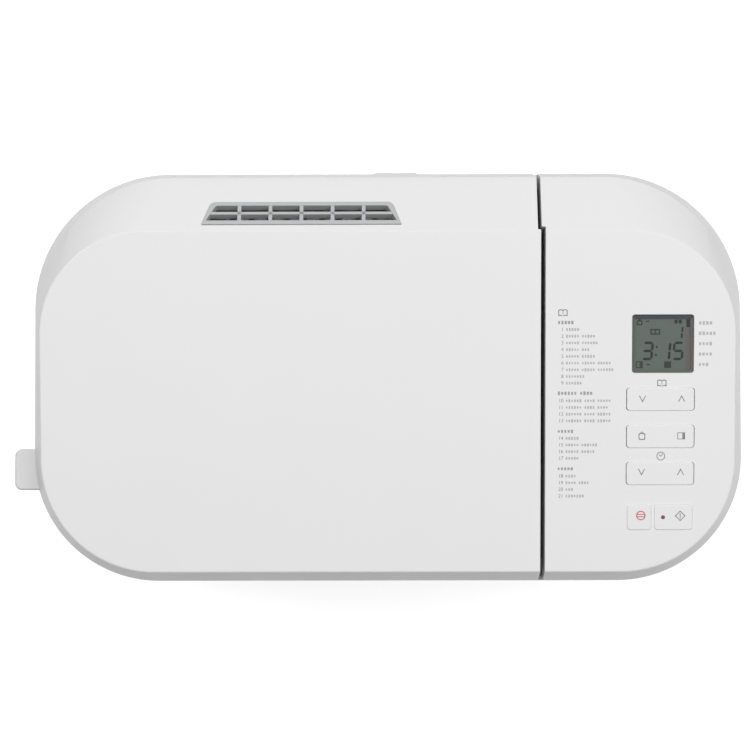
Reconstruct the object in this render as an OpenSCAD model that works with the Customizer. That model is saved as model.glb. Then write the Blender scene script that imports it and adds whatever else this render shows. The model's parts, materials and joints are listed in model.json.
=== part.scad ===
// Bread machine: an upright casing with rounded corners, a top that slopes to the front,
// a lid on the left and a control cover on the right. Inside are an oven chamber, a
// lift-out pan with a kneading blade, and a motor that turns the blade by a toothed belt.
// Casing coordinates: X to the right, Y to the rear, Z up from the worktop, with the
// casing's centre at X = Y = 0. place() moves them to the middle of the whole footprint.

/* [Casing] */
// Width of the casing
body_w = 397; // [392:1:415]
// Depth of the casing
body_d = 229; // [226:1:240]
// Height of the ridge of the top above the worktop
body_h = 362; // [360:1:372]
// Height of the lid and the control cover above their joint with the casing
top_h = 56; // [54:1:58]
// Radius of the casing's front corners
front_r = 70; // [64:1:74]
// Radius of the casing's rear corners
rear_r = 76; // [72:1:84]
// Wall of the plastic shells
wall = 2.6; // [2.2:0.1:3]
// Height of the feet
foot_h = 5; // [4:0.5:7]
// Radius of the feet
foot_r = 10; // [8:0.5:13]

/* [Top] */
// Slope of the flat top, in degrees
face_slope = 8; // [7:0.5:9]
// Inset of the flat top from the sides
face_side = 7.5; // [6:0.5:9]
// Inset of the flat top from the front
face_front = 5; // [4:0.5:7]
// Depth of the band that falls from the ridge to the rear rim
band_d = 31; // [30:0.1:33]
// Inset of the rear rim from the rear wall
rim_in = 5.5; // [5:0.5:8]
// Inset of the rear rim from the sides
rim_side = 5.5; // [5:0.5:6]
// Drop of the rear rim below the plane of the flat top
rim_drop = 19; // [17:0.5:21]
// Softening of the rear rim
rim_soft = 3; // [1:0.5:4]
// Radius of the flat top's front corners
face_front_r = 62; // [56:1:66]
// Radius of the flat top's rear corners
face_rear_r = 57; // [52:1:62]
// Radius of the rear rim's corners
rim_r = 75; // [70:1:80]

/* [Lid] */
// Width of the control cover, from the middle of the seam to the casing's right side
cover_w = 113.2; // [112:0.1:115]
// Width of that seam in the flat top
seam_gap = 2.5; // [2:0.1:3]
// Width of that seam in the rear band
rear_gap = 2; // [1.6:0.1:2.4]
// Sideways jog of the seam at the ridge
seam_jog = 1.9; // [1:0.1:1.9]
// Gap between the casing's top edge and the lid's skirt
lid_gap = 0.6; // [0.4:0.1:1]
// Radius of the hinge barrels
hinge_r = 2.8; // [2.5:0.1:3]
// Radius of the hinge pins
hinge_pin_r = 1.2; // [1:0.1:1.5]
// Width of the casing's barrel in each hinge
barrel_w = 10; // [8:1:12]
// Width of each lid barrel
lid_barrel_w = 7; // [5:1:8]
// Reach of the lid's lifting tab beyond the casing
tab_reach = 10; // [8:0.5:12]
// Length of the tab along the lid
tab_len = 23; // [20:0.5:26]
// Y of the middle of the tab
tab_y = -52; // [-54:1:-44]
// Thickness of the tab
tab_t = 9; // [7:0.5:10]
// Thickness of the lid's metal lining
lining_t = 1.2; // [1:0.1:1.6]
// Height of the lining's raised middle above its edge
lining_rise = 17; // [15:1:18]

/* [Steam vent] */
// Distance of the vent's middle from the casing's left side
vent_in = 151.7; // [149:0.1:155]
// Width of the vent at the ridge side
vent_w = 109.5; // [100:0.5:114]
// Width of the vent at the rim side
vent_top_w = 99; // [92:0.5:99]
// Length of the vent down the band
vent_len = 14.5; // [13:0.5:15]
// Distance of the vent from the ridge, down the band
vent_off = 3.5; // [3:0.1:4]
// Thickness of the vent grille
vent_t = 5; // [4:0.5:6]
// Frame of the grille
vent_frame = 2.6; // [2.2:0.1:3]
// Ribs across the grille
vent_ribs = 5; // [4:1:7]
// Spacing of the ribs
vent_pitch = 17; // [15:0.1:18]
// Thickness of a rib
vent_rib_t = 2; // [1.5:0.1:2.4]
// Thickness of the bar between the two rows of slots
vent_bar_t = 1.6; // [1.2:0.1:2]

/* [Controls] */
// Distance of the rocker keys' middle from the casing's right side
key_in = 48.9; // [48.5:0.1:51]
// Width of a rocker key
rocker_w = 36.8; // [34:0.1:38]
// Height of a rocker key, along the slope
rocker_h = 12; // [11:0.1:13]
// Y of the first rocker key
rocker_y = -14.4; // [-15:0.1:-13]
// Spacing of the rocker keys
rocker_pitch = 20.3; // [19.5:0.1:20.5]
// Tilt of a rocker key to each side, in degrees
rocker_tilt = 2.5; // [1.5:0.5:3]
// Y of the stop and start keys
key_y = -79; // [-79.5:0.1:-77]
// Height of the stop and start keys, along the slope
key_h = 13.4; // [12:0.1:14]
// Width of the stop key
stop_w = 12.6; // [11:0.1:13]
// Width of the start key
start_w = 20.2; // [19:0.1:21]
// Gap between the stop and start keys
key_gap = 2.4; // [2:0.1:3]
// Travel of the stop and start keys
key_travel = 0.8; // [0.5:0.1:0.9]
// How far the keys stand above the top
key_proud = 0.6; // [0.4:0.1:0.8]
// Radius of the keys' corners
key_corner = 1.5; // [1:0.1:2]
// Clearance around a key
key_play = 0.4; // [0.35:0.05:0.6]
// Radius of a push key's stem
stem_r = 2.5; // [2.2:0.1:2.8]
// Radius of a rocker key's pin
rocker_pin_r = 1; // [0.8:0.1:1.2]
// Distance of the display's middle from the casing's right side
lcd_in = 47.7; // [47:0.1:50]
// Y of the middle of the display
lcd_y = 15.7; // [15:0.1:17]
// Width of the display window
lcd_w = 33.7; // [32:0.1:35]
// Height of the display window, along the slope
lcd_h = 32; // [30:0.1:33]
// Thickness of the display window
lcd_t = 1.5; // [1.2:0.1:1.6]

/* [Oven and pan] */
// X of the middle of the oven chamber, the pan and the drive shaft
oven_x = -60; // [-62:1:-59]
// Width of the pan at its rim
pan_w = 182; // [176:1:184]
// Depth of the pan at its rim
pan_d = 128; // [124:1:130]
// Height of the pan
pan_h = 140; // [130:1:142]
// Taper of the pan, on each side
pan_taper = 5; // [3:0.5:6]
// Corner radius of the pan
pan_r = 24; // [20:1:28]
// Wall of the pan
pan_wall = 1.6; // [1.4:0.1:2]
// Space between pan and chamber at the ends
oven_gap_x = 14; // [13:0.5:15]
// Space between pan and chamber at front and rear
oven_gap_y = 17; // [16:0.5:18]
// Corner radius of the chamber
oven_r = 26; // [24:1:32]
// Sheet of the chamber
sheet = 1.2; // [1:0.1:1.5]
// Height of the chamber's floor above the worktop
oven_z = 84; // [82:1:86]
// Radius of the heater's tube
heater_r = 3.2; // [2.8:0.1:3.4]
// Height of the heater above the chamber's floor
heater_up = 30; // [24:1:34]
// Radius of the pan's locking ring
lock_r = 35; // [32:1:38]
// Height of the pan's locking ring
lock_h = 10; // [9:0.5:12]
// Radius of the pan handle's wire
bail_r = 2.6; // [2.2:0.1:2.8]
// Angle of the folded handle below level, in degrees
bail_droop = 22; // [15:1:23]

/* [Kneading drive] */
// Radius of the pan's and the machine's shafts
shaft_r = 4; // [3.5:0.1:4.5]
// Radius of the shafts' bushes
bush_r = 7; // [6.5:0.1:8]
// Reach of the kneading blade from its axis
blade_reach = 46; // [40:1:50]
// Height of the kneading blade
blade_h = 34; // [28:1:38]
// Pitch of the belt's teeth
belt_pitch = 3; // [2.8:0.1:3]
// Teeth of the large pulley
drive_teeth = 88; // [80:1:90]
// Teeth of the motor pulley
motor_teeth = 14; // [12:1:16]
// Width of the belt
belt_w = 11; // [9:0.5:12]
// Thickness of the belt
belt_t = 1.8; // [1.4:0.1:2.2]
// Distance of the motor's axis from the casing's right side
motor_in = 80.5; // [77:0.5:84]
// Radius of the motor's shaft
motor_shaft_r = 3; // [2.5:0.1:3.5]
// Side of the motor's stator stack
stator_w = 78; // [70:1:80]
// Height of the motor's stator stack
stator_h = 36; // [30:1:40]
// Radius of the motor's rotor
rotor_r = 22; // [20:1:24]

/* [Cord outlet] */
// Reach of the cord housing behind the casing
hump_reach = 15.5; // [14:0.5:18]
// Width of the cord housing
hump_w = 34; // [30:1:38]
// X of the middle of the cord housing
hump_x = 5; // [0:1:10]
// Height of the cord housing's top
hump_top = 190; // [180:1:195]
// Radius of the cord's passage through the gland
gland_bore = 3.6; // [3:0.1:4]

/* [Hidden] */
$fn = 64;
hull_fn = 36;          // facets round a corner of a blended shell
running = 0.05;        // radial clearance of a shaft in its bush
snug = 0.02;           // radial clearance of a screw or a pressed pin
gap = 0.3;             // clearance between fixed neighbours
eps = 0.01;
white = [0.93, 0.93, 0.93];
pale = [0.86, 0.86, 0.86];
steel = [0.72, 0.73, 0.75];
dark = [0.2, 0.2, 0.21];
far = 1000;            // longer than anything here, for cuts

// Levels, from the worktop up
half_w = body_w / 2;
half_d = body_d / 2;
part_z = body_h - top_h;
seam_x = half_w - cover_w;
vent_x = vent_in - half_w;
key_x = half_w - key_in;
lcd_x = half_w - lcd_in;
motor_x = half_w - motor_in;
base_t = 2.5;
shell_z = foot_h + 0.5;
base_top = foot_h + base_t;
shell_top = part_z - lid_gap;
pulley_z = 30;
pulley_h = belt_w + 1;
chassis_z = 54;
chassis_t = 2.5;
chassis_top = chassis_z + chassis_t;
seat_t = 3;
seat_play = 0.4;
seat_z = oven_z + sheet;
pan_z = seat_z + seat_t + seat_play + lock_h;
pan_rim_z = pan_z + pan_h;
deck_t = 2.8;
deck_top = part_z - 6;
flange_z = deck_top - deck_t - sheet;
lining_z = part_z + 1;

// Form of the top
tan_face = tan(face_slope);
rim_y = half_d - rim_in;
ridge_y = rim_y - band_d;
function face_z(y) = body_h - (ridge_y - y) * tan_face;
rim_z = face_z(rim_y) - rim_drop;
band_angle = atan2(body_h - rim_z, band_d);
skirt_lip = 2;         // upright foot of the lid's and cover's skirt
jog_play = 1.5;

// Hinges, lining and vent
hinge_y = half_d - hinge_r;
hinge_z = part_z + hinge_r;
hinge_play = 0.4;
hinge_xs = [oven_x - 35, seam_x - 30.3];
hinge_w = barrel_w + 2 * (hinge_play + lid_barrel_w);
leaf_t = 2;
leaf_w = 16;
leaf_h = 18;
lining_rear = hinge_y - hinge_r - 1.2;
post_r = 4;
duct_wall = 1.2;
duct_d = vent_len + 3;
grip_in = 9;           // depth of the tab's root behind the lid's skirt
grip_z = lining_z + 2.4;
grip_r = 4;
grip_stop = 1.5;       // stop behind the lid's skirt, its thickness and its margin
lid_screw_len = 11;
lining_vents = 9;
lining_vent_pitch = 10;

// Screws
screw_r = 1.5;
head_r = 3;
head_t = 1.8;

// Oven, pan and handle
oven_hw = pan_w / 2 + oven_gap_x;
oven_hd = pan_d / 2 + oven_gap_y;
flange_w = 7;
seal_in = 4;           // seal's inner edge outside the chamber
seal_w = 4;
drive_hole_r = 14;
rim_roll = 1.6;
bail_pin_r = 2;
pin_head = 1.6;        // margin of a handle pin's heads
pin_head_t = 1.4;
ear_w = 18;            // boss round a handle pin
ear_down = 9;
bail_z = pan_rim_z - 8;
bail_x = pan_w / 2 + rim_roll + 0.4 + bail_r;
bail_len = pan_d / 2 + 8;
bail_bend = 20;
eye_t = 4;             // flattened eye at each end of the handle
eye_wall = 3;
arm_y = bail_pin_r + 1.2;
oven_posts = [for (sx = [-1, 1], sy = [-1, 1]) [oven_x + sx * 32, sy * 32]];
dome_in = 6;           // lining's dome inside the chamber's walls
dome_z = lining_z + lining_rise;
post_in = 25;          // posts for the lining's screws, in from the dome's walls
lid_posts = [for (sx = [-1, 1], sy = [-1, 1])
                 [oven_x + sx * (oven_hw - dome_in - post_in), sy * (oven_hd - dome_in - post_in)]];
dome_r = 24;
seat_r = 52;
seat_collar_t = 4.5;
shield_gap = 8;        // heat shield beyond the chamber's wall
lock_wall = 3.5;
lock_lip = 6;
lock_lip_t = 1.6;
heater_z = oven_z + heater_up;
heater_hw = oven_hw - 6.5;
heater_hd = oven_hd - 9;
heater_leg = 10;
heater_bend = 20;
heater_leg_bend = 7;
heater_out = 14;       // terminals beyond the chamber's wall
clip_w = 8;
clip_h = 10;
insulator_r = 6;
sensor_z = oven_z + 76;
sensor_y = 40;
sensor_r = 3;

// Shafts, dogs and blade
dog_z = pan_z - 7;     // underside of the pan's dog
dog_t = 3;
dog_w = 6;
flange_under = 2.2;    // flange of the pan's bearing below the pan
bearing_up = 8;
seal_t = 2.5;
blade_z = pan_z + pan_wall + bearing_up + seal_t + 0.6;
blade_t = 5;
hub_r = 9;
hub_h = 25;
shaft_in_hub = 22;
blade_turn = 20;       // rest turn of the blade about its shaft
dog_reach = 13;
coupling_r = 8;
tube_r = bush_r + 4;
tube_z = 46;
tube_top = oven_z - 4;
bush_h = 8;

// Belt and motor
drive_r = drive_teeth * belt_pitch / (2 * PI);
motor_pulley_r = motor_teeth * belt_pitch / (2 * PI);
belt_play = 0.35;
tooth_h = 1;
flange_t = 1;
flange_up = 2.4;
pulley_rim = 5;
pulley_hub = 11;
pulley_web = 4;
web_hole_r = 7;
motor_z = chassis_top + 6;
bell_h = 16;
bell_wall = 3;
bell_r = 32;
stator_z = motor_z + bell_h;
stator_top = stator_z + stator_h;
motor_top = stator_top + bell_h;
mount_off = 30;
mount_r = 6;
boss_up = 3;           // bearing boss inside an end bell
winding_h = 9;
fan_r = 27;
fan_hub_r = 8;
fan_h = 9;
fan_up = 4;
fan_blades = 9;
fan_blade_t = 1.6;

// Chassis, base and electrics
chassis_x = [oven_x - 68, half_w - 25];
chassis_hd = 82;
oven_post_r = 5;
motor_hole_r = 12;
plate_t = 1.5;         // upright that carries the power board
base_posts = [for (k = [0:1], s = [-1, 1])
                  [chassis_x[k] + 10 - 20 * k, s * (chassis_hd - 12 - 8 * k)]];
boss_r = 4.5;
boss_in = 4;           // base screws in from the casing's wall
base_screw_pts = concat(
    [for (s = [-1, 1]) [s * (half_w - wall - boss_in), 0]],
    [for (sx = [-1, 1], s = [-1, 1]) [sx * (half_w - 129), s * (half_d - wall - boss_in)]]);
boss_h = 24;
base_rim_h = 9;
base_rim_t = 2;
base_post_r = 6;
base_screw_len = 16;
chassis_screw_len = 12;
oven_screw_len = 16;
cover_screw_len = 14;
thread_spare = 2;      // pilot holes are this much deeper than their screws
foot_in = [49, 49.5];   // feet in from the casing's sides and from its front and rear
foot_pts = [for (sx = [-1, 1], sy = [-1, 1])
                [sx * (half_w - foot_in[0]), sy * (half_d - foot_in[1])]];
foot_stem_r = 3;
slots = 10;            // cooling slots under the motor, in each of two rows
slot_pitch = 6;
slot_hw = 1.5;
slot_hl = 14;
slot_row_y = 20;
shield_x = oven_x + oven_hw + sheet + shield_gap;
shield_foot = 9;
shield_screw_pts = [for (s = [-1, 1]) [shield_x + 5, s * (oven_hd - 17)]];
power_y = 90;
power_x = [motor_x - 56, motor_x + 32];
power_z = [90, 196];
power_t = 1.6;
power_edge = 5;        // screws in from the power board's edges
power_screw_pts = [for (x = [power_x[0] + power_edge, power_x[1] - power_edge],
                        z = [power_z[0] + power_edge, power_z[1] - power_edge]) [x, z]];
power_screw_len = 6;
pillar_r = 3;
pillar_h = 3;
plate_y = power_y + power_t + pillar_h;
transformer = [36, 26, 32];
relay = [20, 16, 26];
terminals = [26, 10, 12];
smoothing_r = 8;
ribbon_x = key_x - 20.5;
ribbon_w = 14;
ribbon_t = 0.8;
cap_r = 13;
cap_x = motor_x + 22;
cap_y = -stator_w / 2 - cap_r - 8;
cap_h = 44;

// Controls, as depths below the flat top
key_depth = 3.4;
rib_x = 13;            // rocker rib and its switch to each side of the pivot
rib_w = 3;
web_hw = 3;            // half width of a rocker's pivot web
lug_w = 7;
lug_t = 1.8;
guide_h = 4.4;         // guide tube of a push key
key_flange = 1.2;
key_flange_out = 0.9;
pivot_depth = 6.5;
carrier_depth = 9;
carrier_t = 1.6;
switch_top = 13.5;
switch_w = 6;
plunger_up = 1;        // button of a tactile switch above its body
plunger_r = 1.75;
rocker_dip = rib_x * sin(rocker_tilt);
rocker_end = switch_top - plunger_up - rocker_dip - 0.5;
stem_end = switch_top - plunger_up - key_travel - gap;
board_depth = 17;
lcd_depth = 0.3;       // window's face below the flat top
lcd_back = 8;          // display's back below the flat top
lcd_edge = 0.2;        // gap round the window
lcd_recess = 0.7;      // display's face behind its frame
lcd_frame = 1.4;
board_t = 1.6;
rocker_ys = [for (i = [0:2]) rocker_y - i * rocker_pitch];
keys_x0 = key_x - (stop_w + key_gap + start_w) / 2;
stop_x = keys_x0 + stop_w / 2;
start_x = keys_x0 + stop_w + key_gap + start_w / 2;
lamp_x = start_x - 5.7;
lamp_r = 0.8;
stud_xs = [key_x - 35.6, key_x + 26.4];
stud_ys = [key_y + 5, lcd_y + 18.3];
studs = [for (x = stud_xs, y = stud_ys) [x, y]];
board_mid = [(stud_xs[0] + stud_xs[1]) / 2, (stud_ys[0] + stud_ys[1]) / 2];
board_size = [74, 124];
board_r = 12;
cover_wall_x = seam_x + seam_gap / 2 + wall;
cover_post_x = cover_wall_x + 5.5;
cover_posts = [for (s = [-1, 1]) [cover_post_x, s * 70]];
tongue_down = 8;       // cover's tongue inside the casing's top edge
tongue_h = 15;
tongue_t = 2;
carrier_stud_r = 5;
board_stud_r = 3;
board_screw_r = 1.2;
board_head_r = 2.6;
board_head_t = 1.5;
board_screw_len = 8;
deck_right = cover_post_x + 8;

// Cord housing
hump_wall = 2.2;
hump_z = 60;
hump_r = 6;
gland_r = gland_bore + 1;
gland_y = half_d + 7.2;
gland_h = 12;
gland_lip = 1.8;
gland_lip_t = 2.5;
cord_hole_r = 6;       // the cord's way from its housing into the casing
cord_hole_z = hump_z + 25;

// ---------- shared shapes ----------

module place() translate([tab_reach / 2, -hump_reach / 2, 0]) children();

module slot_rect(hw, hd, r) {
    for (sx = [-1, 1], sy = [-1, 1])
        translate([sx * (hw - r), sy * (hd - r)]) circle(r);
    square([2 * hw, 2 * (hd - r)], center = true);
    square([2 * (hw - r), 2 * hd], center = true);
}

module outline(hw, yf, yr, rf, rr) {
    for (s = [-1, 1]) {
        translate([s * (hw - rf), yf + rf]) circle(rf);
        translate([s * (hw - rr), yr - rr]) circle(rr);
    }
    polygon([
        [rf - hw, yf], [hw - rf, yf], [hw, yf + rf], [hw, yr - rr],
        [hw - rr, yr], [rr - hw, yr], [-hw, yr - rr], [-hw, yf + rf]
    ]);
}

// Plan of the casing, g inside its outer face
module casing_plan(g) outline(half_w - g, g - half_d, half_d - g, front_r - g, rear_r - g);

module face_plan(g)
    outline(half_w - face_side - g, face_front + g - half_d, ridge_y - g,
            face_front_r - g, face_rear_r - g);

module rim_plan(g)
    for (s = [-1, 1])
        translate([s * (half_w - rim_side - rim_r), rim_y - rim_r]) circle(rim_r - g);

// A level plan sheared onto a plane that climbs to the rear like the flat top
module sloping(z)
    multmatrix([[1, 0, 0, 0], [0, 1, 0, 0], [0, tan_face, 1, z], [0, 0, 0, 1]])
        linear_extrude(eps) children();

// The blended form of lid and cover together, g inside its outer face
module top_form(g, low) {
    drop = rim_drop + g / cos(band_angle);
    hull($fn = hull_fn) {
        translate([0, 0, low])
            linear_extrude(part_z + skirt_lip - low) casing_plan(g, $fn = hull_fn);
        sloping(face_z(0) - drop - rim_soft) rim_plan(g, $fn = hull_fn);
        sloping(face_z(0) - drop) rim_plan(g + rim_soft, $fn = hull_fn);
        sloping(face_z(0) - g / cos(face_slope) - eps) face_plan(g, $fn = hull_fn);
    }
}

// Left of the seam, g inside the lid's outer face
module lid_side(g) {
    x_front = seam_x - seam_gap / 2 - g;
    x_rear = seam_x - seam_jog - rear_gap / 2 - g;
    polygon([
        [-far, -far], [x_front, -far], [x_front, ridge_y - g],
        [x_rear, ridge_y - g], [x_rear, far], [-far, far]
    ]);
}

// Right of the seam, g inside the cover's outer face
module cover_side(g) {
    x_front = seam_x + seam_gap / 2 + g;
    x_rear = seam_x - seam_jog + rear_gap / 2 + g;
    polygon([
        [far, -far], [far, far], [x_rear, far], [x_rear, ridge_y + jog_play + g],
        [x_front, ridge_y + jog_play + g], [x_front, -far]
    ]);
}

// Puts children on the flat top at x, y, with Z = 0 a depth below it
module on_face(x, y, depth)
    translate([x, y, face_z(y)]) rotate([face_slope, 0, 0])
        translate([0, 0, -depth]) children();

// Puts children on the rear band: X along the ridge, Y down the band
module on_band(x)
    translate([x, ridge_y, body_h]) rotate([-band_angle, 0, 0]) children();

module x_rod(r, x0, x1) translate([x0, 0, 0]) rotate([0, 90, 0]) cylinder(r = r, h = x1 - x0);

// A screw with its head's underside at Z = 0 and its shank going up
module screw(len) {
    translate([0, 0, -head_t]) cylinder(r = head_r, h = head_t);
    cylinder(r = screw_r, h = len);
}

module pilot(len) cylinder(r = screw_r + snug, h = len);

module tube_bend(r, tube) rotate_extrude(angle = 90) translate([r, 0]) circle(tube, $fn = 32);

// ---------- casing ----------

module body_shell() color(white) place() difference() {
    union() {
        translate([0, 0, shell_z]) linear_extrude(shell_top - shell_z) difference() {
            casing_plan(0);
            casing_plan(wall);
        }
        for (p = base_screw_pts)
            translate([p[0], p[1], base_top + gap]) cylinder(r = boss_r, h = boss_h);
    }
    for (p = base_screw_pts)
        translate([p[0], p[1], base_top]) pilot(base_screw_len + thread_spare);
    translate([hump_x, half_d + wall, cord_hole_z])
        rotate([90, 0, 0]) cylinder(r = cord_hole_r, h = 3 * wall);
}

module base_plate() color(dark) place() difference() {
    union() {
        translate([0, 0, foot_h]) linear_extrude(base_t) casing_plan(wall + gap);
        translate([0, 0, base_top]) linear_extrude(base_rim_h) difference() {
            casing_plan(wall + gap);
            casing_plan(wall + gap + base_rim_t);
        }
        for (p = base_posts)
            translate([p[0], p[1], foot_h]) cylinder(r = base_post_r, h = chassis_z - foot_h);
    }
    for (p = base_screw_pts)
        translate([p[0], p[1], foot_h - 1]) {
            cylinder(r = screw_r + gap, h = base_t + 2);
            translate([0, 0, base_t + 1]) cylinder(r = boss_r + gap, h = 2 * base_rim_h);
        }
    for (p = foot_pts)
        translate([p[0], p[1], foot_h - 1]) cylinder(r = foot_stem_r + snug, h = base_t + 2);
    for (p = base_posts)
        translate([p[0], p[1], chassis_z - chassis_screw_len - thread_spare])
            pilot(chassis_screw_len + 2 * thread_spare);
    for (i = [0:slots - 1], s = [-1, 1])
        translate([motor_x + (i - (slots - 1) / 2) * slot_pitch, s * slot_row_y, foot_h - 1])
            linear_extrude(base_t + 2) slot_rect(slot_hw, slot_hl, slot_hw - eps);
}

module feet() color(dark) place() for (p = foot_pts)
    translate([p[0], p[1], 0]) {
        cylinder(r = foot_r, h = foot_h);
        cylinder(r = foot_stem_r, h = base_top + 2);
        translate([0, 0, base_top]) cylinder(r = foot_stem_r + 1, h = 2);
    }

module machine_screws() color(steel) place() {
    for (p = base_screw_pts)
        translate([p[0], p[1], foot_h]) screw(base_screw_len);
    for (p = base_posts)
        translate([p[0], p[1], chassis_top]) mirror([0, 0, 1]) screw(chassis_screw_len);
    for (p = oven_posts)
        translate([p[0], p[1], seat_z + seat_t]) mirror([0, 0, 1]) screw(oven_screw_len);
    for (p = cover_posts)
        translate([p[0], p[1], deck_top - deck_t]) screw(cover_screw_len);
    for (p = shield_screw_pts)
        translate([p[0], p[1], chassis_top + sheet]) mirror([0, 0, 1]) screw(sheet + chassis_t);
}

module hump_plan(g) {
    for (s = [-1, 1])
        translate([hump_x + s * (hump_w / 2 - hump_r), half_d + hump_reach - hump_r])
            circle(hump_r - g);
    translate([hump_x - hump_w / 2 + g, half_d - (g > 0 ? 1 : 0)])
        square([hump_w - 2 * g, hump_reach - hump_r + (g > 0 ? 1 : 0)]);
    translate([hump_x - hump_w / 2 + hump_r, half_d - (g > 0 ? 1 : 0)])
        square([hump_w - 2 * hump_r, hump_reach - g + (g > 0 ? 1 : 0)]);
}

module cord_housing() color(white) place() difference() {
    translate([0, 0, hump_z]) linear_extrude(hump_top - hump_z) hump_plan(0);
    translate([0, 0, hump_z + hump_wall])
        linear_extrude(hump_top - hump_z - 2 * hump_wall) hump_plan(hump_wall);
    translate([hump_x, gland_y, hump_z - 1]) cylinder(r = gland_r + snug, h = hump_wall + 2);
}

module cord_gland() color(dark) place() translate([hump_x, gland_y, hump_z]) difference() {
    union() {
        translate([0, 0, -gland_h / 2]) cylinder(r = gland_r, h = gland_h);
        translate([0, 0, -gland_lip_t]) cylinder(r = gland_r + gland_lip, h = gland_lip_t);
        translate([0, 0, hump_wall]) cylinder(r = gland_r + 1, h = 2);
    }
    translate([0, 0, -gland_h]) cylinder(r = gland_bore, h = 2 * gland_h);
}

// ---------- control cover and controls ----------

module key_hole(x, y, w, h)
    on_face(x, y, 2 * wall) linear_extrude(3 * wall)
        slot_rect(w / 2 + key_play, h / 2 + key_play, key_corner + key_play);

module control_cover() color(white) place() difference() {
    union() {
        difference() {
            intersection() {
                top_form(0, part_z);
                translate([0, 0, part_z - 1]) linear_extrude(body_h) cover_side(0);
            }
            intersection() {
                top_form(wall, part_z - 5);
                translate([0, 0, part_z - 6]) linear_extrude(body_h) cover_side(wall);
            }
        }
        // the wall beside the lid goes down to the deck
        translate([0, 0, deck_top + gap]) linear_extrude(part_z + 1 - deck_top) intersection() {
            difference() {
                cover_side(0);
                cover_side(wall);
            }
            casing_plan(wall + gap);
        }
        // tongue inside the casing's top edge
        translate([0, 0, part_z - tongue_down]) linear_extrude(tongue_h) intersection() {
            difference() {
                casing_plan(wall + gap);
                casing_plan(wall + gap + tongue_t);
            }
            translate([deck_right + 1, -far / 2]) square(far);
        }
        for (p = cover_posts)
            translate([p[0], p[1], deck_top + gap])
                cylinder(r = post_r, h = face_z(p[1]) - wall / 2 - deck_top - gap);
        for (p = studs) {
            on_face(p[0], p[1], carrier_depth)
                cylinder(r = carrier_stud_r, h = carrier_depth - wall / 2);
            on_face(p[0], p[1], board_depth) cylinder(r = board_stud_r, h = board_depth - wall / 2);
        }
    }
    for (p = cover_posts)
        translate([p[0], p[1], deck_top]) pilot(cover_screw_len + thread_spare);
    for (p = studs)
        on_face(p[0], p[1], board_depth + 1) cylinder(r = board_screw_r + snug, h = board_screw_len + 1);
    key_hole(lcd_x, lcd_y, lcd_w - key_play, lcd_h - key_play);
    for (y = rocker_ys)
        key_hole(key_x, y, rocker_w, rocker_h);
    key_hole(stop_x, key_y, stop_w, key_h);
    key_hole(start_x, key_y, start_w, key_h);
}

module lcd_window() color([0.5, 0.55, 0.5]) place()
    on_face(lcd_x, lcd_y, lcd_depth + lcd_t) linear_extrude(lcd_t)
        slot_rect(lcd_w / 2 - lcd_edge, lcd_h / 2 - lcd_edge, key_corner);

module lcd_module() color(pale) place() on_face(lcd_x, lcd_y, 0) {
    hw = lcd_w / 2;
    hh = lcd_h / 2;
    difference() {
        union() {
            translate([0, 0, -lcd_back]) linear_extrude(lcd_back - wall - gap)
                slot_rect(hw + 2, hh + 2, 1);
            translate([0, 0, -lcd_back]) linear_extrude(lcd_back - lcd_depth - lcd_t)
                slot_rect(hw - 2 * lcd_edge, hh - 2 * lcd_edge, 1);
        }
        translate([0, 0, -lcd_depth - lcd_t - lcd_recess]) linear_extrude(lcd_back)
            slot_rect(hw - lcd_frame, hh - lcd_frame, 0.8);
    }
    for (sx = [-1, 1], sy = [-1, 1])
        translate([sx * (hw - 2), sy * (hh - 2), -board_depth])
            cylinder(r = 1.2, h = board_depth - lcd_back);
}

module button_carrier() color(pale) place() {
    lug_y = web_hw + key_play;
    difference() {
        union() {
            on_face(board_mid[0], board_mid[1], carrier_depth + carrier_t)
                linear_extrude(carrier_t) slot_rect(board_size[0] / 2, board_size[1] / 2, board_r);
            for (y = rocker_ys, s = [-1, 1])
                on_face(key_x, y, carrier_depth + carrier_t)
                    translate([-lug_w / 2, s * (lug_y + lug_t / 2) - lug_t / 2, 0])
                        cube([lug_w, lug_t, carrier_depth + carrier_t - key_depth - key_flange]);
            for (x = [stop_x, start_x])
                on_face(x, key_y, carrier_depth + carrier_t) cylinder(r = stem_r + 1.6, h = guide_h);
        }
        for (p = studs)
            on_face(p[0], p[1], carrier_depth + carrier_t + 1) cylinder(r = board_stud_r + running, h = 4);
        on_face(lcd_x, lcd_y, carrier_depth + carrier_t + 1)
            linear_extrude(4) slot_rect(lcd_w / 2 + 1, lcd_h / 2 + 1, 1);
        for (y = rocker_ys) {
            on_face(key_x, y, pivot_depth)
                rotate([90, 0, 0]) cylinder(r = rocker_pin_r + snug, h = 20, center = true);
            for (s = [-1, 1])
                on_face(key_x + s * rib_x, y, carrier_depth + carrier_t + 1)
                    linear_extrude(4) square(rib_w + 2.4, center = true);
        }
        for (x = [stop_x, start_x])
            on_face(x, key_y, carrier_depth + carrier_t + 1) cylinder(r = stem_r + running, h = 9);
        on_face(lamp_x, key_y, carrier_depth + carrier_t + 1) cylinder(r = lamp_r + gap, h = 9);
    }
}

module rocker(y) color(white) place() on_face(key_x, y, 0) difference() {
    union() {
        translate([0, 0, -key_depth]) linear_extrude(key_depth + key_proud)
            slot_rect(rocker_w / 2, rocker_h / 2, key_corner);
        translate([-lug_w / 2, -web_hw, -pivot_depth - lug_t])
            cube([lug_w, 2 * web_hw, pivot_depth + lug_t - key_depth + 0.1]);
        for (s = [-1, 1])
            translate([s * rib_x - rib_w / 2, -rib_w / 2, -rocker_end])
                cube([rib_w, rib_w, rocker_end - key_depth + 0.1]);
    }
    translate([0, 0, -pivot_depth])
        rotate([90, 0, 0]) cylinder(r = rocker_pin_r + running, h = 20, center = true);
}

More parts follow.
